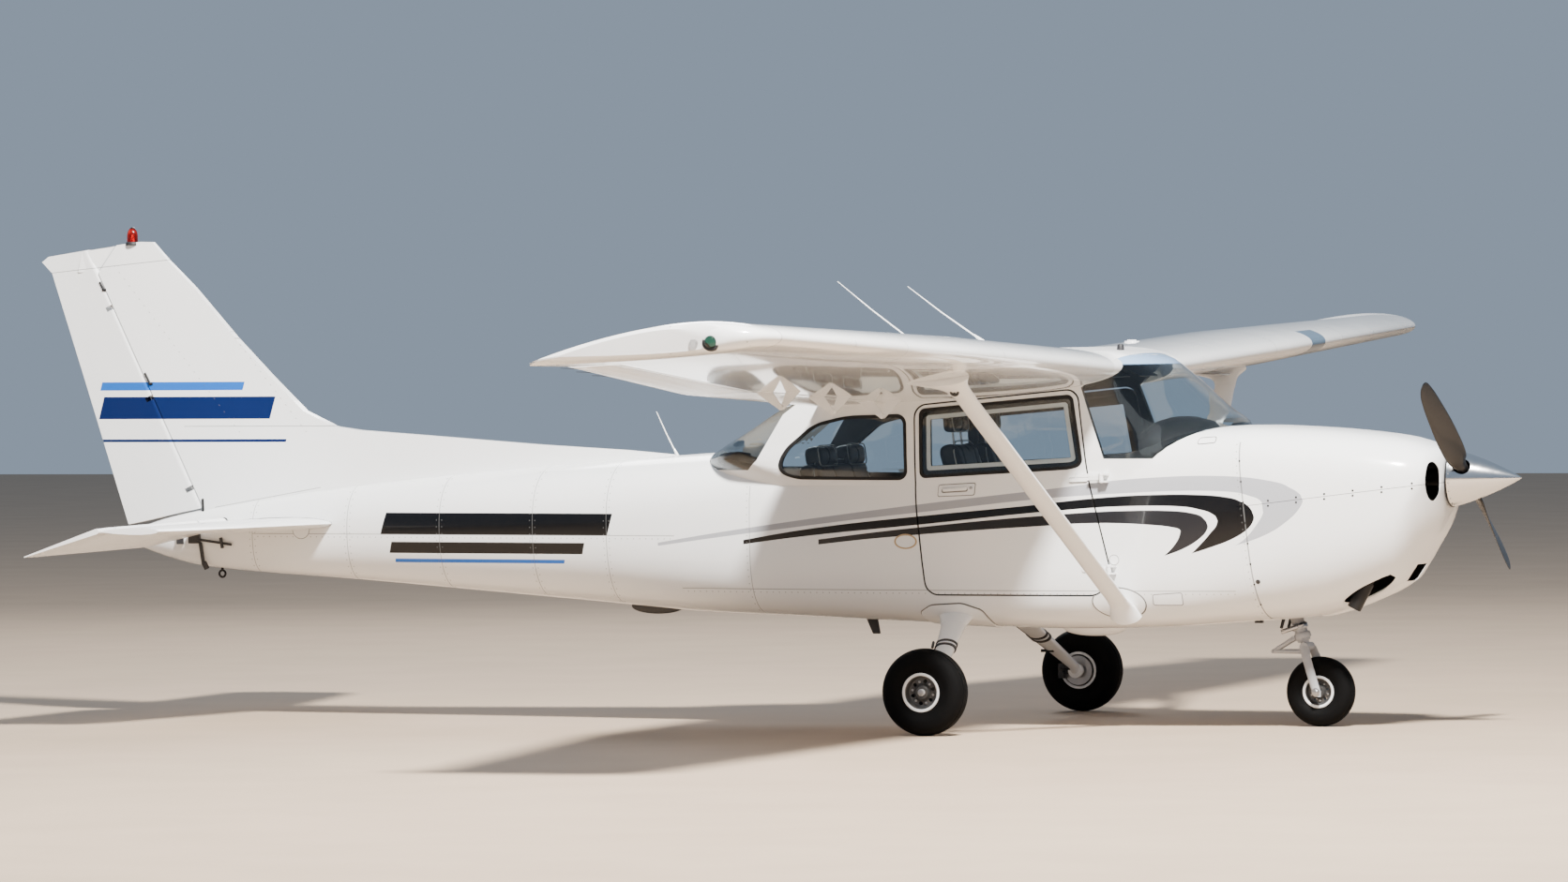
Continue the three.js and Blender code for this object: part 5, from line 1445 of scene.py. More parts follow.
# %% Patches and oval bars
def patch(tool, lift, low, high):
    """What a tool keeps of a thin layer over the body's skin."""
    layer = carve(body_solid(-lift, low, high), body_solid(-0.2, low - 60, high + 60))
    return carve(tool, layer, "INTERSECT")


def lined(tool, line_tool, lift, low, high):
    """A plate on the skin with a thin dark line round it: painted shadow at its edge."""
    line = number_faces(patch(line_tool, min(1.0, lift * 0.6), low, high), 1)
    return joined([number_faces(patch(tool, lift, low, high), 0), line])


def oval_tool(x, z, half_x, half_z, depth, lean=0.0):
    """A cutter of oval section that runs across the aircraft."""
    made = rod((0, depth[0], 0), (0, depth[1], 0), 1, sides=64)
    turn = math.radians(lean)
    for vert in made.data.vertices:
        u, v = vert.co.x / MM * half_x, vert.co.z / MM * half_z
        vert.co.x = (x + u * math.cos(turn) - v * math.sin(turn)) * MM
        vert.co.z = (z + u * math.sin(turn) + v * math.cos(turn)) * MM
    return made


def oval_bar(a, b, rows, side, sides=48):
    """A bar of oval section. Rows: share of the way, half length, half thickness, how far back."""
    a, b = Vector(a), Vector(b)
    slope = Vector((0, b.y - a.y, b.z - a.z)).normalized()
    rings = []
    for t, long, thick, back in rows:
        centre = a + (b - a) * t
        ring = []
        for i in range(sides):
            angle = i * math.tau / sides
            across = thick * math.sin(angle)
            y = centre.y - across * slope.z
            ring.append(Vector((centre.x - back + long * math.cos(angle), side * y, centre.z + across * slope.y)) * MM)
        rings.append(ring)
    return new_object(loft(rings), "oval_bar")


# %% Struts
STRUT_LOW, STRUT_HIGH = (2173, 482, 603), (1870, 2300, 1812)
STRUT_HALF = (56, 20)
CUFF_HIGH = [
    (0.925, 57.5, 21, 0), (0.935, 58.5, 22.5, 0), (0.948, 62, 24.5, 3), (0.96, 69, 27, 9), (0.97, 80, 30, 18),
    (0.98, 96, 35, 30), (0.99, 120, 41, 46), (1.0, 150, 48, 64), (1.012, 185, 56, 84),
]
CUFF_LOW = [
    (-0.012, 88, 62, 8), (0.0, 78, 53, 6), (0.009, 71, 44, 4), (0.018, 66, 36, 2), (0.027, 61.5, 28, 0),
    (0.036, 59, 23, 0), (0.05, 57.2, 20.8, 0),
]


def strut_bar(side, start=0.0, wider=0.0):
    """The strut from a share of its length to its end, wider all round by some millimetres."""
    rows = [(share, STRUT_HALF[0] + wider, STRUT_HALF[1] + wider, 0) for share in (start, 0.5, 0.9, 0.998)]
    return oval_bar(STRUT_LOW, STRUT_HIGH, rows, side)


for name, side in BOTH_SIDES:
    strut = carve(strut_bar(side), body_solid(-0.3, 1500, 2700))
    hand_over(strut, "strut_bar_" + name, "airframe", [plain_paint], ["strut_" + name])
    high = carve(oval_bar(STRUT_LOW, STRUT_HIGH, CUFF_HIGH, side), wing_skin(side))
    carve(high, strut_bar(side, wider=0.3))
    hand_over(keep_largest(high), "strut_cuff_high_" + name, "airframe", [plain_paint])
    low = carve(oval_bar(STRUT_LOW, STRUT_HIGH, CUFF_LOW, side), body_solid(-0.3, 1500, 2700))
    carve(low, strut_bar(side, start=-0.02, wider=0.3))
    carve(low, slab(grown(DOOR, GAP + 1), SIDES[name], ROUND["door"] + GAP))
    hand_over(keep_largest(low), "strut_cuff_low_" + name, "airframe", [plain_paint])
    ovals = [oval_tool(2146, 648, 138 + out, 76 + out, SIDES[name], -4) for out in (0, 7)]
    clear_of_door = [slab(grown(DOOR, GAP + 1), SIDES[name], ROUND["door"] + GAP) for _ in ovals]
    plate = lined(*(carve(oval, tool) for oval, tool in zip(ovals, clear_of_door)), 4, 1800, 2400)
    hand_over(plate, "strut_plate_" + name, "airframe", [plain_paint, sealant])

# %% Bolt rings in the upper fairings
at = Vector(STRUT_LOW).lerp(Vector(STRUT_HIGH), 0.963)
for name, side in BOTH_SIDES:
    outward = Vector((0.1, side * 0.85, -0.5)).normalized()
    centre = Vector((at.x - 14, side * at.y, at.z))
    ring = turned([(22, 12), (34, 12), (36, 13.5), (36, 22), (34, 24), (22, 24)], centre, outward, steps=48, ring=True)
    bolt = rod(centre + outward * 20, centre + outward * 33, 8, sides=6, ease=0.8)
    hand_over(joined([ring, bolt]), "strut_bolt_" + name, "airframe", [dark_plastic])

# %% Main legs
LEG_ROOT, LEG_FOOT = (1230, 372, 600), (1354, 1142, 250)
LEG_ROWS = [(0, 76, 34, 0), (0.25, 64.5, 31.5, 0), (0.5, 53, 29, 0), (0.75, 41.5, 26.5, 0), (1, 30, 24, 0)]
COLLAR_ROWS = [
    (-0.06, 134, 60, 0), (0.0, 118, 54, 0), (0.04, 106, 48, 0), (0.08, 95, 42.5, 0), (0.12, 85, 38, 0),
    (0.16, 77, 35, 0), (0.2, 71.5, 33.2, 0),
]
FAIRING = [(1050, 592), (1120, 630), (1290, 640), (1395, 605), (1425, 545), (1410, 470), (1110, 470), (1060, 560)]
INSIDE_COLLAR = [(t, 76.3 - 46 * max(0, t), 34.3 - 10 * max(0, t), 0) for t in (-0.15, 0.5, 1.15)]
HOSE = ((0.12, -44), (0.5, -28), (0.86, -16), (1.0, -20))  # share of the leg's length, and how far forward
for name, side in BOTH_SIDES:
    leg = carve(oval_bar(LEG_ROOT, LEG_FOOT, LEG_ROWS, side), body_solid(-0.3, 600, 2000))
    x, z, inner = MAIN_WHEEL["x"], MAIN_WHEEL["radius"], 1172
    foot = [
        rod((x, side * (inner + 8), z), (x, side * 1338, z), 17.6),
        rod((x, side * (inner - 26), z), (x, side * (inner + 8), z), 40, sides=48, ease=4),
        rod((x - 6, side * (inner - 30), z + 28), (x, side * (inner - 8), z), 27, sides=40),
    ]
    hand_over(fused([leg, *foot]), "leg_blade_" + name, "airframe", [plain_paint], ["main_leg_" + name])
    clamps = [
        oval_bar(LEG_ROOT, LEG_FOOT, [(low, 60, 33.5, 0), (high, 59, 33.2, 0)], side)
        for low, high in ((0.455, 0.475), (0.505, 0.525))
    ]
    clamps.append(rod((1218, side * 735, 452), (1226, side * 775, 425), 7, sides=16, ease=1))
    hand_over(joined(clamps), "leg_clamps_" + name, "airframe", [dark_plastic])
    collar = carve(oval_bar(LEG_ROOT, LEG_FOOT, COLLAR_ROWS, side), body_solid(-0.3, 600, 2000))
    carve(collar, oval_bar(LEG_ROOT, LEG_FOOT, INSIDE_COLLAR, side))
    hand_over(keep_largest(collar), "leg_collar_" + name, "airframe", [plain_paint])
    spread_out = side_span(side, 200, 800)
    plate = lined(slab(FAIRING, spread_out, 28), slab(grown(FAIRING, 7), spread_out, 34), 8, 900, 1600)
    hand_over(plate, "leg_plate_" + name, "airframe", [plain_paint, sealant])
    hose = []
    points = [Vector(LEG_ROOT).lerp(Vector(LEG_FOOT), t) + Vector((ahead, 0, -26 + 6 * t)) for t, ahead in HOSE]
    points.append(Vector((x - 80, inner - 26, z + 12)))
    for a, b in zip(points, points[1:]):
        hose.append(rod((a.x, side * a.y, a.z), (b.x, side * b.y, b.z), 4.5, sides=12))
    clip = points[1].lerp(points[2], 0.45)
    hose.append(block((clip.x - 30, clip.x + 40), side_span(side, clip.y - 8, clip.y + 8), (clip.z - 14, clip.z + 2)))
    hand_over(joined(hose), "brake_hose_" + name, "airframe", [seal_rubber])

# %% [markdown]
# ## Seats
# A seat is foam in a leather cover, so it bulges between its seams. Each pad starts as a rounded block. Its
# surface is turned into an even mesh and blown up a little as cloth, with a limit on how far a point may go.
# The sewn channels are pressed in afterwards, because the even mesh would lose them.

# %% Pads: middle, size along X, Y and Z, lean in degrees, places across where a channel is sewn
PADS = {
    "rear_seat": [
        ("rear_cushion", (700, 0, 952), (380, 836, 78), 2, (-140, 140)),
        ("rear_back", (452, 0, 1180), (88, 836, 380), -15, (-140, 140)),
        ("rear_headrest_starboard", (425, -225, 1396), (92, 270, 104), -8, (0,)),
        ("rear_headrest_port", (425, 225, 1396), (92, 270, 104), -8, (0,)),
    ],
}
for name, y in (("starboard", -255), ("port", 255)):
    PADS["front_seat_" + name] = [
        ("front_cushion_" + name, (1478, y, 985), (416, 392, 76), -3, (-95, 95)),
        ("front_back_" + name, (1243, y, 1262), (84, 388, 424), -16, (-95, 95)),
        ("front_headrest_" + name, (1180, y, 1592), (66, 250, 138), -7, (0,)),
    ]
VOXEL, SWELL, PRESSURE, LAST_FRAME = 8.5, 12, 4.0, 16


def with_modifiers(piece):
    """Makes what the modifiers show the piece's own mesh."""
    bpy.context.view_layer.update()
    graph = bpy.context.evaluated_depsgraph_get()
    mesh = bpy.data.meshes.new_from_object(piece.evaluated_get(graph))
    piece.modifiers.clear()
    old, piece.data = piece.data, mesh
    bpy.data.meshes.remove(old)
    return piece


def pad_block(middle, size, lean):
    bm = bmesh.new()
    bmesh.ops.create_cube(bm, size=1)
    bmesh.ops.scale(bm, vec=[v * MM for v in size], verts=bm.verts)
    bmesh.ops.bevel(
        bm, geom=list(bm.edges), offset=0.34 * min(size) * MM, segments=5, profile=0.5, affect="EDGES", material=-1,
    )
    bmesh.ops.rotate(bm, verts=bm.verts, matrix=Matrix.Rotation(math.radians(lean), 3, "Y"))
    bmesh.ops.translate(bm, verts=bm.verts, vec=Vector(middle) * MM)
    piece = new_object(bm, "pad")
    even = piece.modifiers.new("even", "REMESH")
    even.mode, even.voxel_size = "VOXEL", VOXEL * MM
    return with_modifiers(piece)


def swell(pieces):
    """Blows all pads up together as cloth, and holds each point within the limit."""
    starts = [[v.co.copy() for v in piece.data.vertices] for piece in pieces]
    for piece in pieces:
        cloth = piece.modifiers.new("cloth", "CLOTH")
        cloth.settings.use_pressure = True
        cloth.settings.uniform_pressure_force = PRESSURE
        cloth.settings.effector_weights.gravity = 0
        cloth.point_cache.frame_end = LAST_FRAME
    for frame_number in range(1, LAST_FRAME + 1):
        bpy.context.scene.frame_set(frame_number)
    for piece, start in zip(pieces, starts):
        with_modifiers(piece)
        for vert, old in zip(piece.data.vertices, start):
            move = vert.co - old
            if move.length > SWELL * MM:
                vert.co = old + move.normalized() * SWELL * MM
    bpy.context.scene.frame_set(1)


def press_channels(piece, middle, lean, places):
    """Sinks the sewn channels into a pad."""
    back = Matrix.Rotation(math.radians(-lean), 3, "Y")
    normals = [v.normal.copy() for v in piece.data.vertices]
    for vert, normal in zip(piece.data.vertices, normals):
        local = back @ (vert.co - Vector(middle) * MM)
        near = min(abs(local.y / MM - place) for place in places)
        vert.co -= normal * (7 * math.exp(-((near / 7) ** 2))) * MM


made_pads = []
for node, pads in PADS.items():
    for name, middle, size, lean, places in pads:
        made_pads.append((node, name, middle, size, lean, places, pad_block(middle, size, lean)))
swell([row[-1] for row in made_pads])
for node, name, middle, size, lean, places, piece in made_pads:
    press_channels(piece, middle, lean, places)
    smooth = piece.modifiers.new("smooth", "SUBSURF")
    smooth.levels = smooth.render_levels = 1
    with_modifiers(piece)
    hand_over(piece, name, "airframe", [seat_leather if "cushion" not in name else seat_cloth], sharp=180)
    if "cushion" in name:
        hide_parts(node)

# %% Piping round the backs and headrests, and the headrests' posts
piping_cloth = woven("piping_cloth", (0.42, 0.42, 0.41), 0.003, 0.0002)


def piping(name, middle, size, lean):
    """A cord sewn along the front rim of a pad."""
    curve = bpy.data.curves.new(name, "CURVE")
    curve.dimensions, curve.bevel_depth, curve.bevel_resolution = "3D", 3.2 * MM, 2
    spline = curve.splines.new("POLY")
    half_y, half_z, round_by = size[1] / 2 + 2, size[2] / 2 + 2, 0.3 * min(size[1:])
    points = []
    for sy, sz, start in ((1, 1, 0), (-1, 1, 90), (-1, -1, 180), (1, -1, 270)):
        for i in range(7):
            angle = math.radians(start + i * 15)
            points.append((
                size[0] / 2 - 6, sy * (half_y - round_by) + round_by * math.cos(angle),
                sz * (half_z - round_by) + round_by * math.sin(angle),
            ))
    turn = Matrix.Rotation(math.radians(lean), 3, "Y")
    spline.points.add(len(points) - 1)
    for point, at in zip(spline.points, points):
        point.co = (*(turn @ Vector(at) + Vector(middle)) * MM, 1)
    spline.use_cyclic_u = True
    return from_curve(name, curve)


for node, name, middle, size, lean, places, piece in made_pads:
    if "cushion" not in name:
        cord = piping(name + "_piping", middle, size, lean)
        hand_over(cord, name + "_piping", "airframe", [piping_cloth], sharp=60)
POSTS = [  # how far out the headrest is, half the way between its posts, and their two ends as X and Z
    (255, 62, (1196, 1450), (1184, 1545)), (225, 70, (430, 1330), (426, 1370)),
]
posts = []
for far, half, (low_x, low_z), (high_x, high_z) in POSTS:
    for y in (-far - half, half - far, far - half, far + half):
        posts.append(rod((low_x, y, low_z), (high_x, y, high_z), 6, sides=20))
hand_over(joined(posts), "headrest_posts", "airframe", [bare_steel])

# %% [markdown]
# ## Panel and controls
# The instrument panel is a dark sheet under a padded shade. Round instruments stand in two rows before the
# pilot, with plain ticks and needles, and a stack of radios beside them. Each yoke is a bent handle on a tube.

# %% Instrument panel
PANEL_TOP, PANEL_LOW = 1395, 980
panel_lean = math.atan2(45, 415)


def on_panel(y, z, off):
    """A place on the panel's face, some way out of it towards the seats."""
    share = (z - PANEL_LOW) / (PANEL_TOP - PANEL_LOW)
    return Vector((2150 - 45 * share - off, y, z))


smooth_copy("instrument_panel", [dark_plastic])
hood = carve(ball("hood", (2340, 0, 1455), (210, 430, 140), steps=64), body_and_upper(WALL + 4), "INTERSECT")
hand_over(keep_largest(hood), "panel_hood", "airframe", [trim_plastic])
panel_out = Vector((-math.cos(panel_lean), 0, -math.sin(panel_lean)))
dial_face = speckled("dial_face", (0.01, 0.01, 0.011), 0.3, 300, 0.00005)
dial_mark = speckled("dial_mark", (0.75, 0.75, 0.72), 0.5, 300, 0.00005)
rims, faces, marks = [], [], []
DIALS = [(y, z, 39) for y in (170, 260, 350) for z in (1300, 1205)]  # place across, height and radius
DIALS += [(-60, 1310, 26), (-60, 1240, 26), (90, 1205, 26), (90, 1270, 26)]


def on_dial(angle):
    """The direction on the panel's face at an angle."""
    return Vector((math.sin(panel_lean) * math.sin(angle), math.cos(angle), -math.cos(panel_lean) * math.sin(angle)))


for y, z, radius in DIALS:
    centre = on_panel(y, z, 0)
    rim = [(0.5, radius - 3), (9, radius - 3), (10, radius), (9, radius + 3), (0.5, radius + 4)]
    rims.append(turned(rim, centre, panel_out, steps=40, ring=True))
    faces.append(rod(centre + panel_out * 0.6, centre + panel_out * 3, radius - 3.2, sides=40))
    for i in range(12):
        spoke, face = on_dial(i * math.tau / 12), centre + panel_out * 3.6
        marks.append(rod(face + spoke * (radius - 12), face + spoke * (radius - 6), 0.9, sides=6))
    needle, face = on_dial(1.1 + 0.7 * len(faces)), centre + panel_out * 4.4
    marks.append(rod(face - needle * 6, face + needle * (radius - 14), 1.6, 0.7, sides=8))
hand_over(joined(rims), "dial_rims", "airframe", [trim_plastic])
hand_over(joined(faces), "dial_faces", "airframe", [dial_face])
hand_over(joined(marks), "dial_marks", "airframe", [dial_mark])
radios, knobs = [], []
for i in range(4):
    centre = on_panel(15, 1328 - i * 56, 0)
    radios.append(block((centre.x - 10, centre.x + 2), (-68 + 15, 68 - 15), (centre.z - 24, centre.z + 24)))
for y, z in [(y, 1085) for y in (-30, 10, 50)] + [(150 + 34 * i, 1110) for i in range(6)]:
    centre = on_panel(y, z, 0)
    knobs.append(rod(centre + panel_out * 0.5, centre + panel_out * 34, 5, sides=16))
    knobs.append(rod(centre + panel_out * 30, centre + panel_out * 44, 13, sides=24, ease=3))
hand_over(joined(radios), "radio_stack", "airframe", [dial_face])
hand_over(joined(knobs), "panel_knobs", "airframe", [dark_plastic])

# %% Yokes: half of the handle's path as X, the way from its middle and Z
YOKE = [
    (1944, -124, 1296), (1946, -134, 1262), (1948, -134, 1210), (1950, -104, 1186), (1952, -50, 1190), (1952, 0, 1196),
]
handle = YOKE + [(x, -dy, z) for x, dy, z in reversed(YOKE[:-1])]
for name, y in (("starboard", -270), ("port", 270)):
    curve = bpy.data.curves.new("yoke", "CURVE")
    curve.dimensions, curve.bevel_depth, curve.bevel_resolution = "3D", 12.5 * MM, 4
    curve.use_fill_caps = True
    spline = curve.splines.new("NURBS")
    spline.points.add(len(handle) - 1)
    for point, (x, dy, z) in zip(spline.points, handle):
        point.co = (x * MM, (y + dy) * MM, z * MM, 1)
    spline.use_endpoint_u, spline.order_u, spline.resolution_u = True, 4, 6
    grip = from_curve("grip", curve)
    parts = [grip, rod((2125, y, 1180), (1958, y, 1195), 12.5), block((1938, 1968), (y - 34, y + 34), (1170, 1222))]
    yoke = joined(parts)
    hand_over(yoke, "yoke_grip_" + name, "airframe", [dark_plastic], ["control_yoke_" + name])

# %% [markdown]
# ## Lining
# A bulkhead of cloth stands behind the rear seat, and carpet lies on the floor. Two
# sun visors hang in front.

# %% Bulkhead and visors
bulkhead = carve(body_and_upper(WALL + 2), block((-286, -280), (-800, 800), (0, 2500)), "INTERSECT")
hand_over(bulkhead, "rear_bulkhead", "airframe", [carpet])
visors = []
for y in (-235, 235):
    visors.append(slab([(2075, 1800), (2079, 1806), (1925, 1876), (1921, 1870)], (y - 150, y + 150), 2))
hand_over(joined(visors), "sun_visors", "airframe", [trim_plastic])

# %% [markdown]
# ## Door fittings
# A door has a lever in a shallow plate, hinges at its front edge and a stay. An oval cover sits behind it, and
# the fixed halves of the hinges stay with the body when the door swings.

# %% Handles, plates and hinges
HANDLE = [(1180, 1196), (1376, 1204), (1382, 1262), (1186, 1252)]
HANDLE_SHADOW = [(1200, 1212), (1342, 1220), (1344, 1242), (1200, 1234)]
STRAPS = (
    [(1893, 1268), (1990, 1272), (1990, 1292), (1893, 1288)],
    [(1925, 1292), (2060, 1298), (2060, 1314), (1925, 1308)],
)
DOOR_HINGE, DOOR_LEAN, HINGE_HEIGHTS = (2090, 560, 1050), math.radians(4.6), (820, 1290)


def hinge(foot, up, side, pin, base, arm):
    """A hinge's fixed parts and its moving ones. Base and arm: reach along the body, near and far side across."""
    fixed = [rod(foot + up * a, foot + up * b, 12, sides=32, ease=1.5) for a, b in ((12.4, 24), (-24, -12.4))]
    fixed.append(rod(foot - up * pin, foot + up * pin, 6, sides=20, ease=1))
    for low, high in ((13, 23), (-23, -13)):
        length = (foot.x + 3, foot.x + base[0])
        fixed.append(block(length, side_span(side, *base[1:]), (foot.z + low, foot.z + high)))
    knuckle = turned([(-12, 6.8), (-12, 12), (12, 12), (12, 6.8)], foot, up, steps=32, ring=True)
    length = (foot.x - arm[0], foot.x - 13)
    return fixed, [knuckle, block(length, side_span(side, *arm[1:]), (foot.z - 10, foot.z + 10))]


for name, side in BOTH_SIDES:
    door_body = "door_" + name
    plate = lined(slab(HANDLE, SIDES[name], 9), slab(grown(HANDLE, 4), SIDES[name], 11), 3, 1000, 1500)
    hand_over(plate, "handle_plate_" + name, door_body, [plain_paint, sealant])
    # A dark patch under the lever, raised a little above the plate, is painted shadow.
    shadow_patch = patch(slab(HANDLE_SHADOW, SIDES[name], 9), 3.6, 1000, 1500)
    hand_over(shadow_patch, "handle_well_" + name, door_body, [sealant])
    out = side * 551
    grip = [rod((1212, out, 1227), (1338, out, 1236), 8, 10, sides=24, ease=3)]
    grip.append(rod((1334, side * 532, 1236), (1334, out, 1236), 7, sides=20))
    hand_over(fused(grip), "handle_grip_" + name, door_body, [plain_paint])
    lock = rod((1360, side * 534, 1239), (1360, side * 545, 1239), 8, sides=28, ease=1.5)
    hand_over(lock, "door_lock_" + name, door_body, [bare_steel])
    for number, outline in enumerate(STRAPS):
        stay = lined(slab(outline, SIDES[name], 4), slab(grown(outline, 3), SIDES[name], 6), 8, 1700, 2200)
        hand_over(stay, f"door_strap_{number}_{name}", door_body, [plain_paint, sealant])

    up = Vector((-math.sin(DOOR_LEAN), 0, math.cos(DOOR_LEAN)))
    fixed, moving = [], []
    for height in HINGE_HEIGHTS:
        x0, y0, z0 = DOOR_HINGE
        foot = Vector((x0 + up.x / up.z * (height - z0), side * y0, height))
        stays, swings = hinge(foot, up, side, 27, (34, 518, 568), (66, 556, 566))
        strap = slab(box_outline(foot.x - 150, foot.x - 20, height - 12, height + 12), SIDES[name], 6)
        fixed += stays
        moving += [*swings, patch(strap, 4, 1700, 2300)]
    hand_over(joined(fixed), "hinge_fixed_" + name, "airframe", [plain_paint])
    hand_over(joined(moving), "hinge_moving_" + name, door_body, [plain_paint])


def cover_tool(half_x, half_z):
    """The oval cover's outline on the starboard side, at a half length and half height."""
    return oval_tool(1000, 962, half_x, half_z, SIDES["starboard"])


cover_rim = carve(patch(cover_tool(62, 39), 4, 800, 1200), cover_tool(54, 32))
rim_finish = speckled("cover_rim", (0.42, 0.30, 0.16), 0.5, 200, 0.0002)
hand_over(cover_rim, "side_cover_rim", "airframe", [rim_finish])
cover = patch(cover_tool(53, 31), 2.5, 800, 1200)
slot_tool = slab(box_outline(975, 1025, 956, 967), SIDES["starboard"], 4)
hand_over(carve(cover, slot_tool), "side_cover", "airframe", [plain_paint])

# %% Access plates and screws along the cowl
OUTLINES = [
    ([(2330, 640), (2480, 640), (2480, 700), (2330, 690)], 8, 2200, 2600),
    ([(2560, 1462), (2650, 1470), (2646, 1496), (2562, 1490)], 9, 2450, 2750),
]
ROUND_PLATES = ((2130, 870, 24), (-2560, 1010, 50))
plates = []
for side in (-1, 1):
    for outline, rounding, low, high in OUTLINES:
        reach = side_span(side, 100, 600)
        plates.append(lined(slab(outline, reach, rounding), slab(grown(outline, 4), reach, rounding + 4), 2, low, high))
    for x, z, half in ROUND_PLATES:
        tools = [oval_tool(x, z, size, size, side_span(side, 60, 600)) for size in (half, half + 3)]
        plates.append(lined(*tools, 1.6, x - 250, x + 250))
hand_over(joined(plates), "access_plates", "airframe", [plain_paint, sealant])


def on_body(x, z, side, out=0.0):
    """A place on the body's side at a height, and which way is out there."""
    row = smooth_rows(BODY, [x])[0]
    _, half, bottom, middle, top, over, under = row
    reach, power = (top - middle, over) if z > middle else (middle - bottom, under)
    share = min(0.999, abs(z - middle) / reach)
    y = half * (1 - share**power) ** (1 / power)
    slope_z = share ** (power - 1) / reach * math.copysign(1, z - middle)
    slope_y = (y / half) ** (power - 1) / half
    ahead = smooth_rows(BODY, [min(x + 10, 3765)])[0][1]
    outward = Vector((-(ahead - half) / 10 * slope_y, slope_y, slope_z)).normalized()
    outward.y *= side
    return Vector((x, side * y, z)) + outward * out, outward


SPLIT_SLOPE = (SPLIT[1][1] - SPLIT[0][1]) / 1300
screws = []
for side in (-1, 1):
    places = [(x, SPLIT[0][1] + (x - 2600) * SPLIT_SLOPE + off) for x in range(2800, 3700, 145) for off in (13, -13)]
    places += [(2785 + (1450 - z) * FIREWALL_LEAN, z) for z in range(640, 1480, 105)]
    for x, z in places:
        spot, outward = on_body(x, z, side)
        screws.append(rod(spot - outward * 1.0, spot + outward * 0.9, 5.2, sides=14, ease=0.4))
hand_over(joined(screws), "cowl_screws", "airframe", [burnt_steel], sharp=50)

# %% [markdown]
# ## Aerials, lamps and small parts outside
# Two thin whips lean back from the roof and a third stands behind the cabin. The wing tips have a position
# lamp and a strobe, the port wing's landing lamp cover is a dark blue patch of painted shade and painted sky
# reflection, and the beacon stands on the fin.

# %% Aerials
AERIALS = [  # foot and tip
    ((864, 0, 1990), (444, 0, 2310)), ((1247, 0, 1990), (834, 0, 2280)), ((-455, 0, 1380), (-580, 0, 1630)),
]
whips, feet = [], []
for foot, tip in AERIALS:
    foot, tip = Vector(foot), Vector(tip)
    way = (tip - foot).normalized()
    middle = foot.lerp(tip, 0.55) - Vector((0, 0, 6))
    whips += [rod(foot, middle, 4.6, 3.4, sides=20), rod(middle, tip, 3.4, 1.8, sides=20, ease=0.6)]
    feet.append(rod(foot - way * 26, foot + way * 60, 13, 5.5, sides=28, ease=1.5))
    feet.append(rod(foot - Vector((0, 0, 22)), foot + Vector((0, 0, 1)), 24, 20, sides=32, ease=2))
hand_over(joined(whips), "aerial_whips", "airframe", [plain_paint])
hand_over(joined(feet), "aerial_feet", "airframe", [plain_paint])
cap = rod((2000, 0, 1920), (2000, 0, 1972), 24, 15, sides=40, ease=5)
hand_over(cap, "roof_cap", "airframe", [dark_plastic])


# %% Under the body
def fairing(middle, half, material, name):
    """A smooth blister under the body."""
    made = carve(ball(name, middle, half), body_solid(-0.4, middle[0] - half[0] - 60, middle[0] + half[0] + 60))
    return hand_over(made, name, "airframe", [material])


fairing((1850, 0, 500), (170, 62, 42), plain_paint, "belly_blister")
fairing((-580, 0, 602), (150, 34, 42), dark_plastic, "belly_pod")
blade = slab([(585, 560), (650, 560), (668, 462), (628, 462)], (-6, 6), 4)
hand_over(carve(blade, body_solid(-0.4, 500, 760)), "belly_aerial", "airframe", [dark_plastic])
drain = [rod((2890, y, 560), (2875, y, 505), 9, 8, sides=24, ease=1.5) for y in (-60, 70)]
step = [block((2760, 2800), (-150, -120), (536, 552))]
hand_over(joined(drain + step), "belly_drains", "airframe", [burnt_steel])

# %% Wing lamps
green_lens = clear("green_lens", (0.02, 0.1, 0.07), 0.03)


def wing_patch(side, x, y, z, grown_by=1.2):
    """What a block keeps of a thin layer over the wing's skin."""
    rows = [wing_row_at(v) for v in steps_between(max(y[0] - 20, 562), min(y[1] + 20, 5499), 25)]
    rings = [mirrored_ring(wing_ring(row), side) for row in rows]
    inner = new_object(loft(rings), "inner")
    outer_rings = []
    for ring in rings:
        middle = sum(ring, Vector()) / len(ring)
        ways = [Vector((p.x - middle.x, 0, (p.z - middle.z) * 6)).normalized() for p in ring]
        outer_rings.append([p + way * grown_by * MM for p, way in zip(ring, ways)])
    outer = new_object(loft(outer_rings), "outer")
    tool = block(x, side_span(side, *y), z)
    return carve(carve(tool, outer, "INTERSECT"), inner)


# The cover is an opaque patch: its dark blue is painted shade of the bay behind clear glass and painted sky reflection.
lamp_bay = speckled("lamp_bay", (0.07, 0.11, 0.16), 0.08, 20, 0.0002, vary=0.6)
lamp_cover = wing_patch(1, (2040, 2300), (3010, 3290), (1700, 2300))
hand_over(lamp_cover, "landing_lamp_cover", "airframe", [lamp_bay])
TIP_LAMPS = {"starboard": (-1, green_lens), "port": (1, red_lens)}
LAMP_BASE = [(-14, 0), (-14, 42), (6, 42), (10, 38), (10, 0)]  # along the lamp's line and out from it
LAMP_LENS = [(10.4, 0), (10.4, 30), (18, 28), (27, 20), (31, 10), (32, 0)]
STROBE_LENS = [(-10, 0), (-10, 26), (4, 26), (16, 20), (23, 10), (25, 0)]
for name, (side, lens) in TIP_LAMPS.items():
    y = side * 5488
    base, dome = (turned(rows, (1816, y, 2020), (0.1, side, 0.1), steps=48) for rows in (LAMP_BASE, LAMP_LENS))
    hand_over(base, "tip_lamp_base_" + name, "airframe", [dark_plastic])
    hand_over(dome, "tip_lamp_lens_" + name, "airframe", [lens])
    strobe = turned(STROBE_LENS, (1735, y, 2012), (0.05, side, 0.05), steps=40)
    hand_over(strobe, "tip_strobe_" + name, "airframe", [lamp_lens])

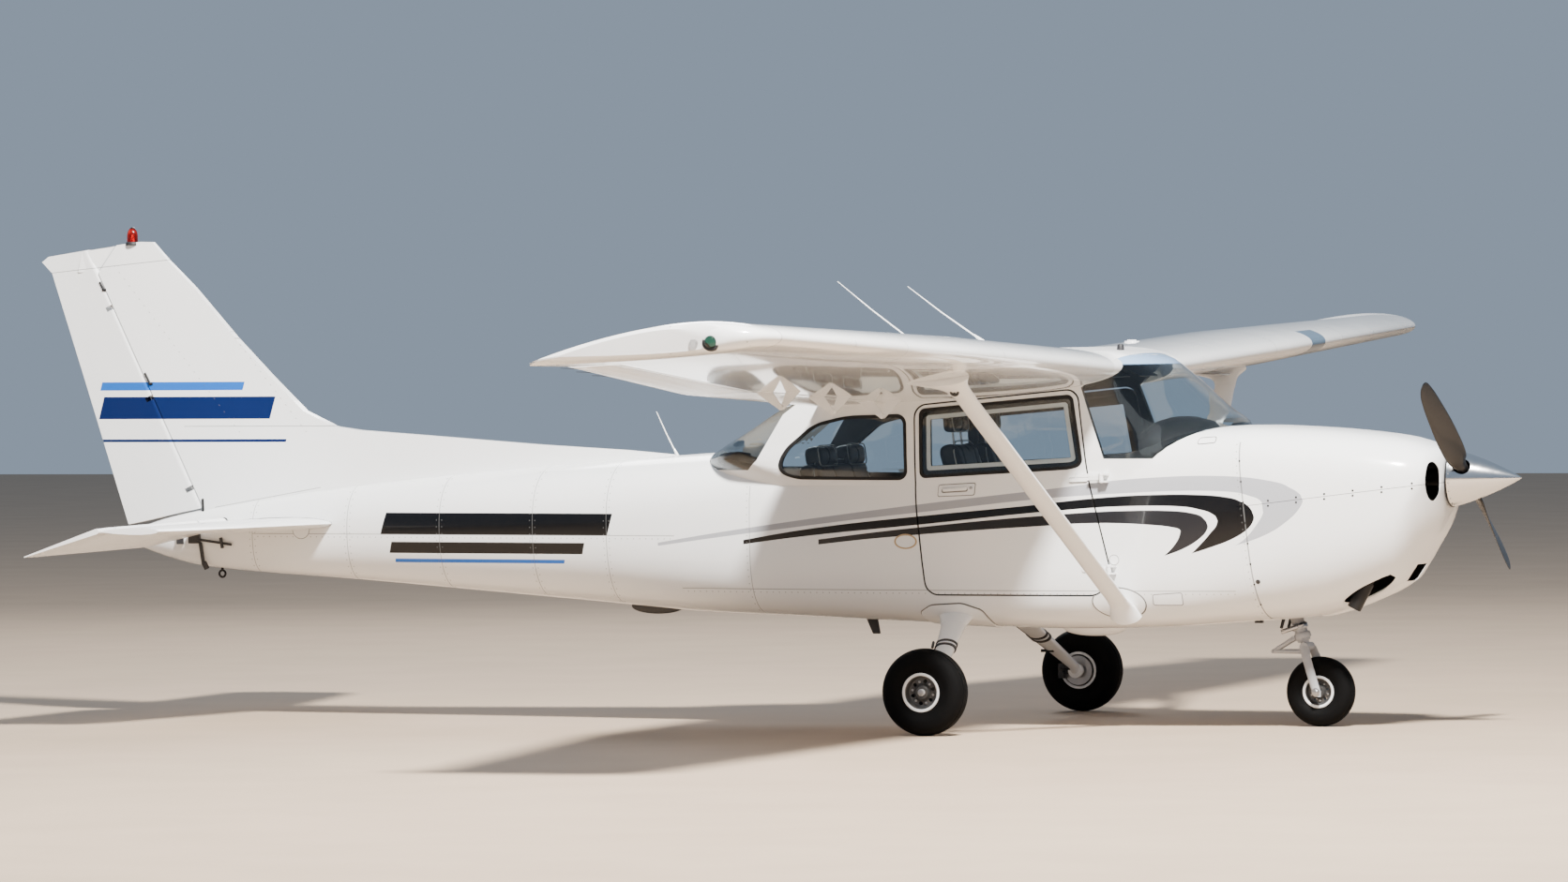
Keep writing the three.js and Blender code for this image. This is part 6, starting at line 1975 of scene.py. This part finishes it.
# %% Fuel caps, tie-down rings and static wicks
fuel = []
for side in (-1, 1):
    x, y, z, half = wing_point(1150, 0.28)
    fuel.append(rod((x, side * y, z + half - 12), (x, side * y, z + half + 5), 44, 40, sides=48, ease=2))
    fuel.append(block((x - 24, x + 24), (side * y - 5, side * y + 5), (z + half + 2, z + half + 12)))
hand_over(joined(fuel), "fuel_caps", "airframe", [wheel_paint])


def ring_bolt(centre, radius, wire, name):
    angles = [i * math.tau / 12 for i in range(12)]
    profile = [(wire * math.sin(angle), radius + wire * math.cos(angle)) for angle in angles]
    loop = turned(profile, centre, (0, 1, 0), steps=36, ring=True)
    top = Vector(centre) + Vector((0, 0, radius))
    shank = rod(top, top + Vector((0, 0, 26)), wire * 1.2, sides=16)
    return hand_over(joined([loop, shank]), name, "airframe", [burnt_steel])


ring_bolt((-3100, 0, 764), 18, 6, "tail_ring")
for name, side in BOTH_SIDES:
    wicks = []
    for y in (4250, 4600, 4950):
        _, _, _, te_x, te_z = wing_row_at(y)
        wicks.append(rod((te_x + 6, side * y, te_z + 3), (te_x - 110, side * y, te_z + 6), 2.6, 1.2, sides=10))
        wicks.append(rod((te_x + 16, side * y, te_z + 4), (te_x - 16, side * y, te_z + 3), 5, sides=12, ease=1))
    hand_over(joined(wicks), "aileron_wicks_" + name, "aileron_" + name, [dark_plastic])

# %% Pitot tube
pitot = [
    slab([(1900, 1900), (1960, 1900), (1950, 1800), (1925, 1800)], (1700, 1710), 3),
    rod((1900, 1705, 1806), (2065, 1705, 1800), 8, 7, sides=28, ease=1),
]
hand_over(fused(pitot), "pitot_tube", "airframe", [bare_steel])

# %% [markdown]
# ## On the tail
# The rudder hangs on three brackets, and a horn under it takes the cables. The beacon is a red glass on a dark
# base at the top of the fin, and a short link stands before the elevator.

# %% Beacon, brackets and horns
base = turned([(0, 0), (0, 37), (6, 38), (16, 35), (19, 31), (19, 0)], (-3615, 0, 2541), (0, 0, 1), steps=48)
BEACON_GLASS = [(19.4, 0), (19.4, 30), (58, 29), (78, 24), (92, 14), (98, 5), (99, 0)]
glass_dome = turned(BEACON_GLASS, (-3615, 0, 2541), (0, 0, 1), steps=48)
hand_over(base, "beacon_base", "airframe", [dark_plastic])
hand_over(glass_dome, "beacon_lens", "airframe", [red_lens], ["beacon"])
red_lamp = speckled("red_lamp", (0.6, 0.012, 0.008), 0.3, 60, 0.0001)
core = rod((-3615, 0, 2561), (-3615, 0, 2600), 9, 7, sides=24, ease=2)
hand_over(core, "beacon_core", "airframe", [red_lamp])

BRACKETS = [((-3190, 1170), (-3186, 1085), 50), ((-3532, 1850), (-3500, 1790), 37), ((-3800, 2345), (-3776, 2300), 26)]
brackets = []
for (x0, z0), (x1, z1), half in BRACKETS:
    for side in (-1, 1):
        brackets.append(rod((x0, side * half, z0), (x1, side * (half + 1), z1), 6, sides=14))
        brackets.append(rod((x1 - 8, side * half, z1), (x1 + 14, side * half, z1 + 2), 7, sides=14, ease=1))
hand_over(joined(brackets), "rudder_brackets", "airframe", [burnt_steel])
cranks = [
    block((-3245, -3180), (-124, -96), (930, 985)), rod((-3178, -114, 935), (-3165, -100, 812), 10, sides=20, ease=2),
    rod((-3165, -100, 830), (-3150, -90, 792), 15, sides=20, ease=3),
]
hand_over(joined(cranks), "rudder_crank", "airframe", [dark_plastic])
links = [
    rod((-3190, -122, 952), (-2985, -136, 925), 7, sides=14),
    rod((-3050, -132, 962), (-3040, -132, 905), 9, sides=14, ease=1),
    block((-3325, -3285), (-100, -84), (925, 975)),
]
hand_over(joined(links), "elevator_link", "airframe", [dark_plastic])

# %% Exhaust and the cowl's drain holes
pipe_top, pipe_end = Vector((3392, -247, 752)), Vector((3322, -257, 618))
pipe = fused([
    rod((3440, -240, 879.5), (3440, -240, 846), 30), rod((3440, -240, 850), (3385, -248, 740), 30),
    rod(pipe_top, pipe_end, 36.5, ease=1.5),
])
bore = rod(pipe_top.lerp(pipe_end, 0.3), pipe_end + (pipe_end - pipe_top) * 0.1, 33)
hand_over(carve(pipe, bore), "exhaust_tube", "airframe", [burnt_steel], ["exhaust_pipe"])
# Each drain hole is a dark disc on the skin: painted shade inside the hole.
holes = []
for side in (-1, 1):
    spot, outward = on_body(2879, 759, side)
    holes.append(rod(spot - outward * 2, spot + outward * 1.2, 12, sides=32, ease=0.4))
hand_over(joined(holes), "cowl_drains", "airframe", [dark_plastic])

# %% [markdown]
# ## Door linings and the smaller hinges
# Each door carries a grey card with a map pocket, an armrest, a pull handle and a lever. The baggage door hangs
# on two small hinges. Under each wing three pairs of plates carry the flap, one of each pair on either body.

# %% Door linings
LINER = [(1140, 720), (1980, 720), (1940, 1262), (1110, 1236)]
POCKET = box_outline(1500, 1900, 760, 905)
ARMREST = [(1250, 1000), (1600, 1004), (1604, 1038), (1250, 1044)]
card_finish = speckled("door_card", (0.10, 0.10, 0.105), 0.55, 300, 0.0003, specular=0.3)
pocket_finish = speckled("door_pocket", (0.045, 0.045, 0.047), 0.7, 400, 0.0003, specular=0.3)


def lining(outline, depth, rounding, thick):
    """A layer on the inner face of the body's wall, cut to an outline."""
    layer = carve(body_solid(WALL - 0.5, 1050, 2150), body_solid(WALL + thick, 990, 2210))
    return carve(slab(outline, depth, rounding), layer, "INTERSECT")


for name, side in BOTH_SIDES:
    door_body = "door_" + name
    card = number_faces(lining(LINER, SIDES[name], 26, 5), 0)
    pocket = number_faces(lining(POCKET, SIDES[name], 16, 16), 1)
    hand_over(joined([card, pocket]), "door_card_" + name, door_body, [card_finish, pocket_finish])
    rest = slab(ARMREST, side_span(side, 464, 508), 13)
    hand_over(rest, "door_armrest_" + name, door_body, [pocket_finish])
    pull = [rod((1330, side * 480, 1120), (1520, side * 480, 1124), 8, sides=24, ease=3)]
    pull += [rod((x, side * 480, 1122), (x, side * 508, 1122), 7, sides=20) for x in (1342, 1508)]
    hand_over(fused(pull), "door_pull_" + name, door_body, [dark_plastic])
    lever = [rod((1212, side * 496, 1150), (1212, side * 508, 1150), 22, 26, sides=40, ease=2)]
    lever.append(rod((1212, side * 490, 1150), (1310, side * 486, 1156), 8, 6, sides=20, ease=3))
    hand_over(fused(lever), "door_lever_" + name, door_body, [bare_steel])

# %% Hinges of the baggage door
fixed, moving = [], []
for height in (860, 1100):
    stays, swings = hinge(Vector((646, 536, height)), Vector((0, 0, 1)), 1, 26, (44, 506, 544), (56, 530, 542))
    fixed += stays
    moving += swings
hand_over(joined(fixed), "baggage_hinge_fixed", "airframe", [plain_paint])
hand_over(joined(moving), "baggage_hinge_moving", "baggage_door", [plain_paint])

# %% Flap hinges
FLAP_DROP = 75
for name, side in BOTH_SIDES:
    fixed, moving = [], []
    ends = [wing_point(FLAP[k], FLAP["ahead"]) for k in ("from", "to")]
    for share in (0.1, 0.5, 0.9):
        x, out, z, half = (a + (b - a) * share for a, b in zip(*ends))
        x, skin = x + half, z - half
        low = skin - FLAP_DROP
        for pieces, near, far, outline in (
            (fixed, -14, -6, [(120, skin + 30), (30, skin + 30), (-9, low), (9, low - 10)]),
            (moving, 6, 14, [(-60, skin + 26), (-150, skin + 14), (-8, low - 10), (8, low + 8)]),
        ):
            depth = side_span(side, out + near, out + far)
            pieces.append(slab([(x + dx, height) for dx, height in outline], depth, 6))
        for pieces, way in ((fixed, -1), (moving, 1)):
            start, step = Vector((x, side * out, low)), Vector((0, side * way, 0))
            pieces.append(rod(start + step * 0.3, start + step * 18, 13, sides=32, ease=2))
            pieces.append(rod(start + step * 17, start + step * 24, 7, sides=6))
    hand_over(joined(fixed), "flap_hinge_fixed_" + name, "airframe", [wing_paint])
    hand_over(joined(moving), "flap_hinge_moving_" + name, "flap_" + name, [wing_paint])

# %% [markdown]
# ## The stage
# A pale floor under the wheels and three soft lights: a broad one above for the wings and the spine, one from
# the camera's side, and a weak one behind. A pale sky all round gives the paint something to mirror.

# %% Floor, lights and sky
floor_bm = bmesh.new()
bmesh.ops.create_grid(floor_bm, x_segments=1, y_segments=1, size=60)
floor = new_object(floor_bm, "floor")
floor_finish, floor_tree, floor_shader, floor_place, _ = finish("floor_finish", (0.37, 0.28, 0.2), 0.85)
floor_tone = mix(floor_tree, cloud(floor_tree, floor_place, 1.4, 6.0), (0.33, 0.25, 0.18), (0.41, 0.31, 0.225))
join(floor_tree, floor_tone, floor_shader.inputs["Base Color"])
floor.data.materials.append(floor_finish)


def soft_light(name, at, towards, size, power, colour=(1, 1, 1)):
    lamp = bpy.data.lights.new(name, "AREA")
    lamp.shape, lamp.size, lamp.energy, lamp.color = "DISK", size, power, colour
    made = bpy.data.objects.new(name, lamp)
    bpy.context.scene.collection.objects.link(made)
    made.location = at
    made.rotation_mode = "QUATERNION"
    made.rotation_quaternion = (Vector(towards) - Vector(at)).to_track_quat("-Z", "Y")
    return made


soft_light("key", (8, -10, 16), (0, 0, 1.2), 2.5, 19500, (1, 0.97, 0.92))
fill = soft_light("side", (8, -24, 9), (0, 0, 1.2), 14, 1000)
fill.visible_glossy = False  # it lifts the shade and leaves no patch of its own on the glass
soft_light("back", (-6, 12, 9), (0, 0, 1.5), 6, 1000)
world = bpy.data.worlds.new("sky")
bpy.context.scene.world = world
world.use_nodes = True
sky = world.node_tree.nodes["Background"]
sky.inputs["Color"].default_value = (0.62, 0.78, 1.0, 1)
sky.inputs["Strength"].default_value = 0.42

# %% Give every node that is left a finish
LEFT = {
    "engine_block": engine_metal, "exhaust_pipe": burnt_steel, "nose_leg": bare_steel, "nose_fork": bare_steel,
    "cabin_floor": carpet, "instrument_panel": dark_plastic, "control_yoke_starboard": dark_plastic,
    "control_yoke_port": dark_plastic, "beacon": red_lens, "propeller": blade_paint, "spinner": polished_metal,
    "front_seat_starboard": seat_cloth, "front_seat_port": seat_cloth, "rear_seat": seat_cloth,
}
for name, node in nodes.items():
    material = LEFT.get(name, tyre_rubber if "tyre" in name else wheel_paint if "wheel" in name else wing_paint)
    node.data.materials.clear()
    node.data.materials.append(material)
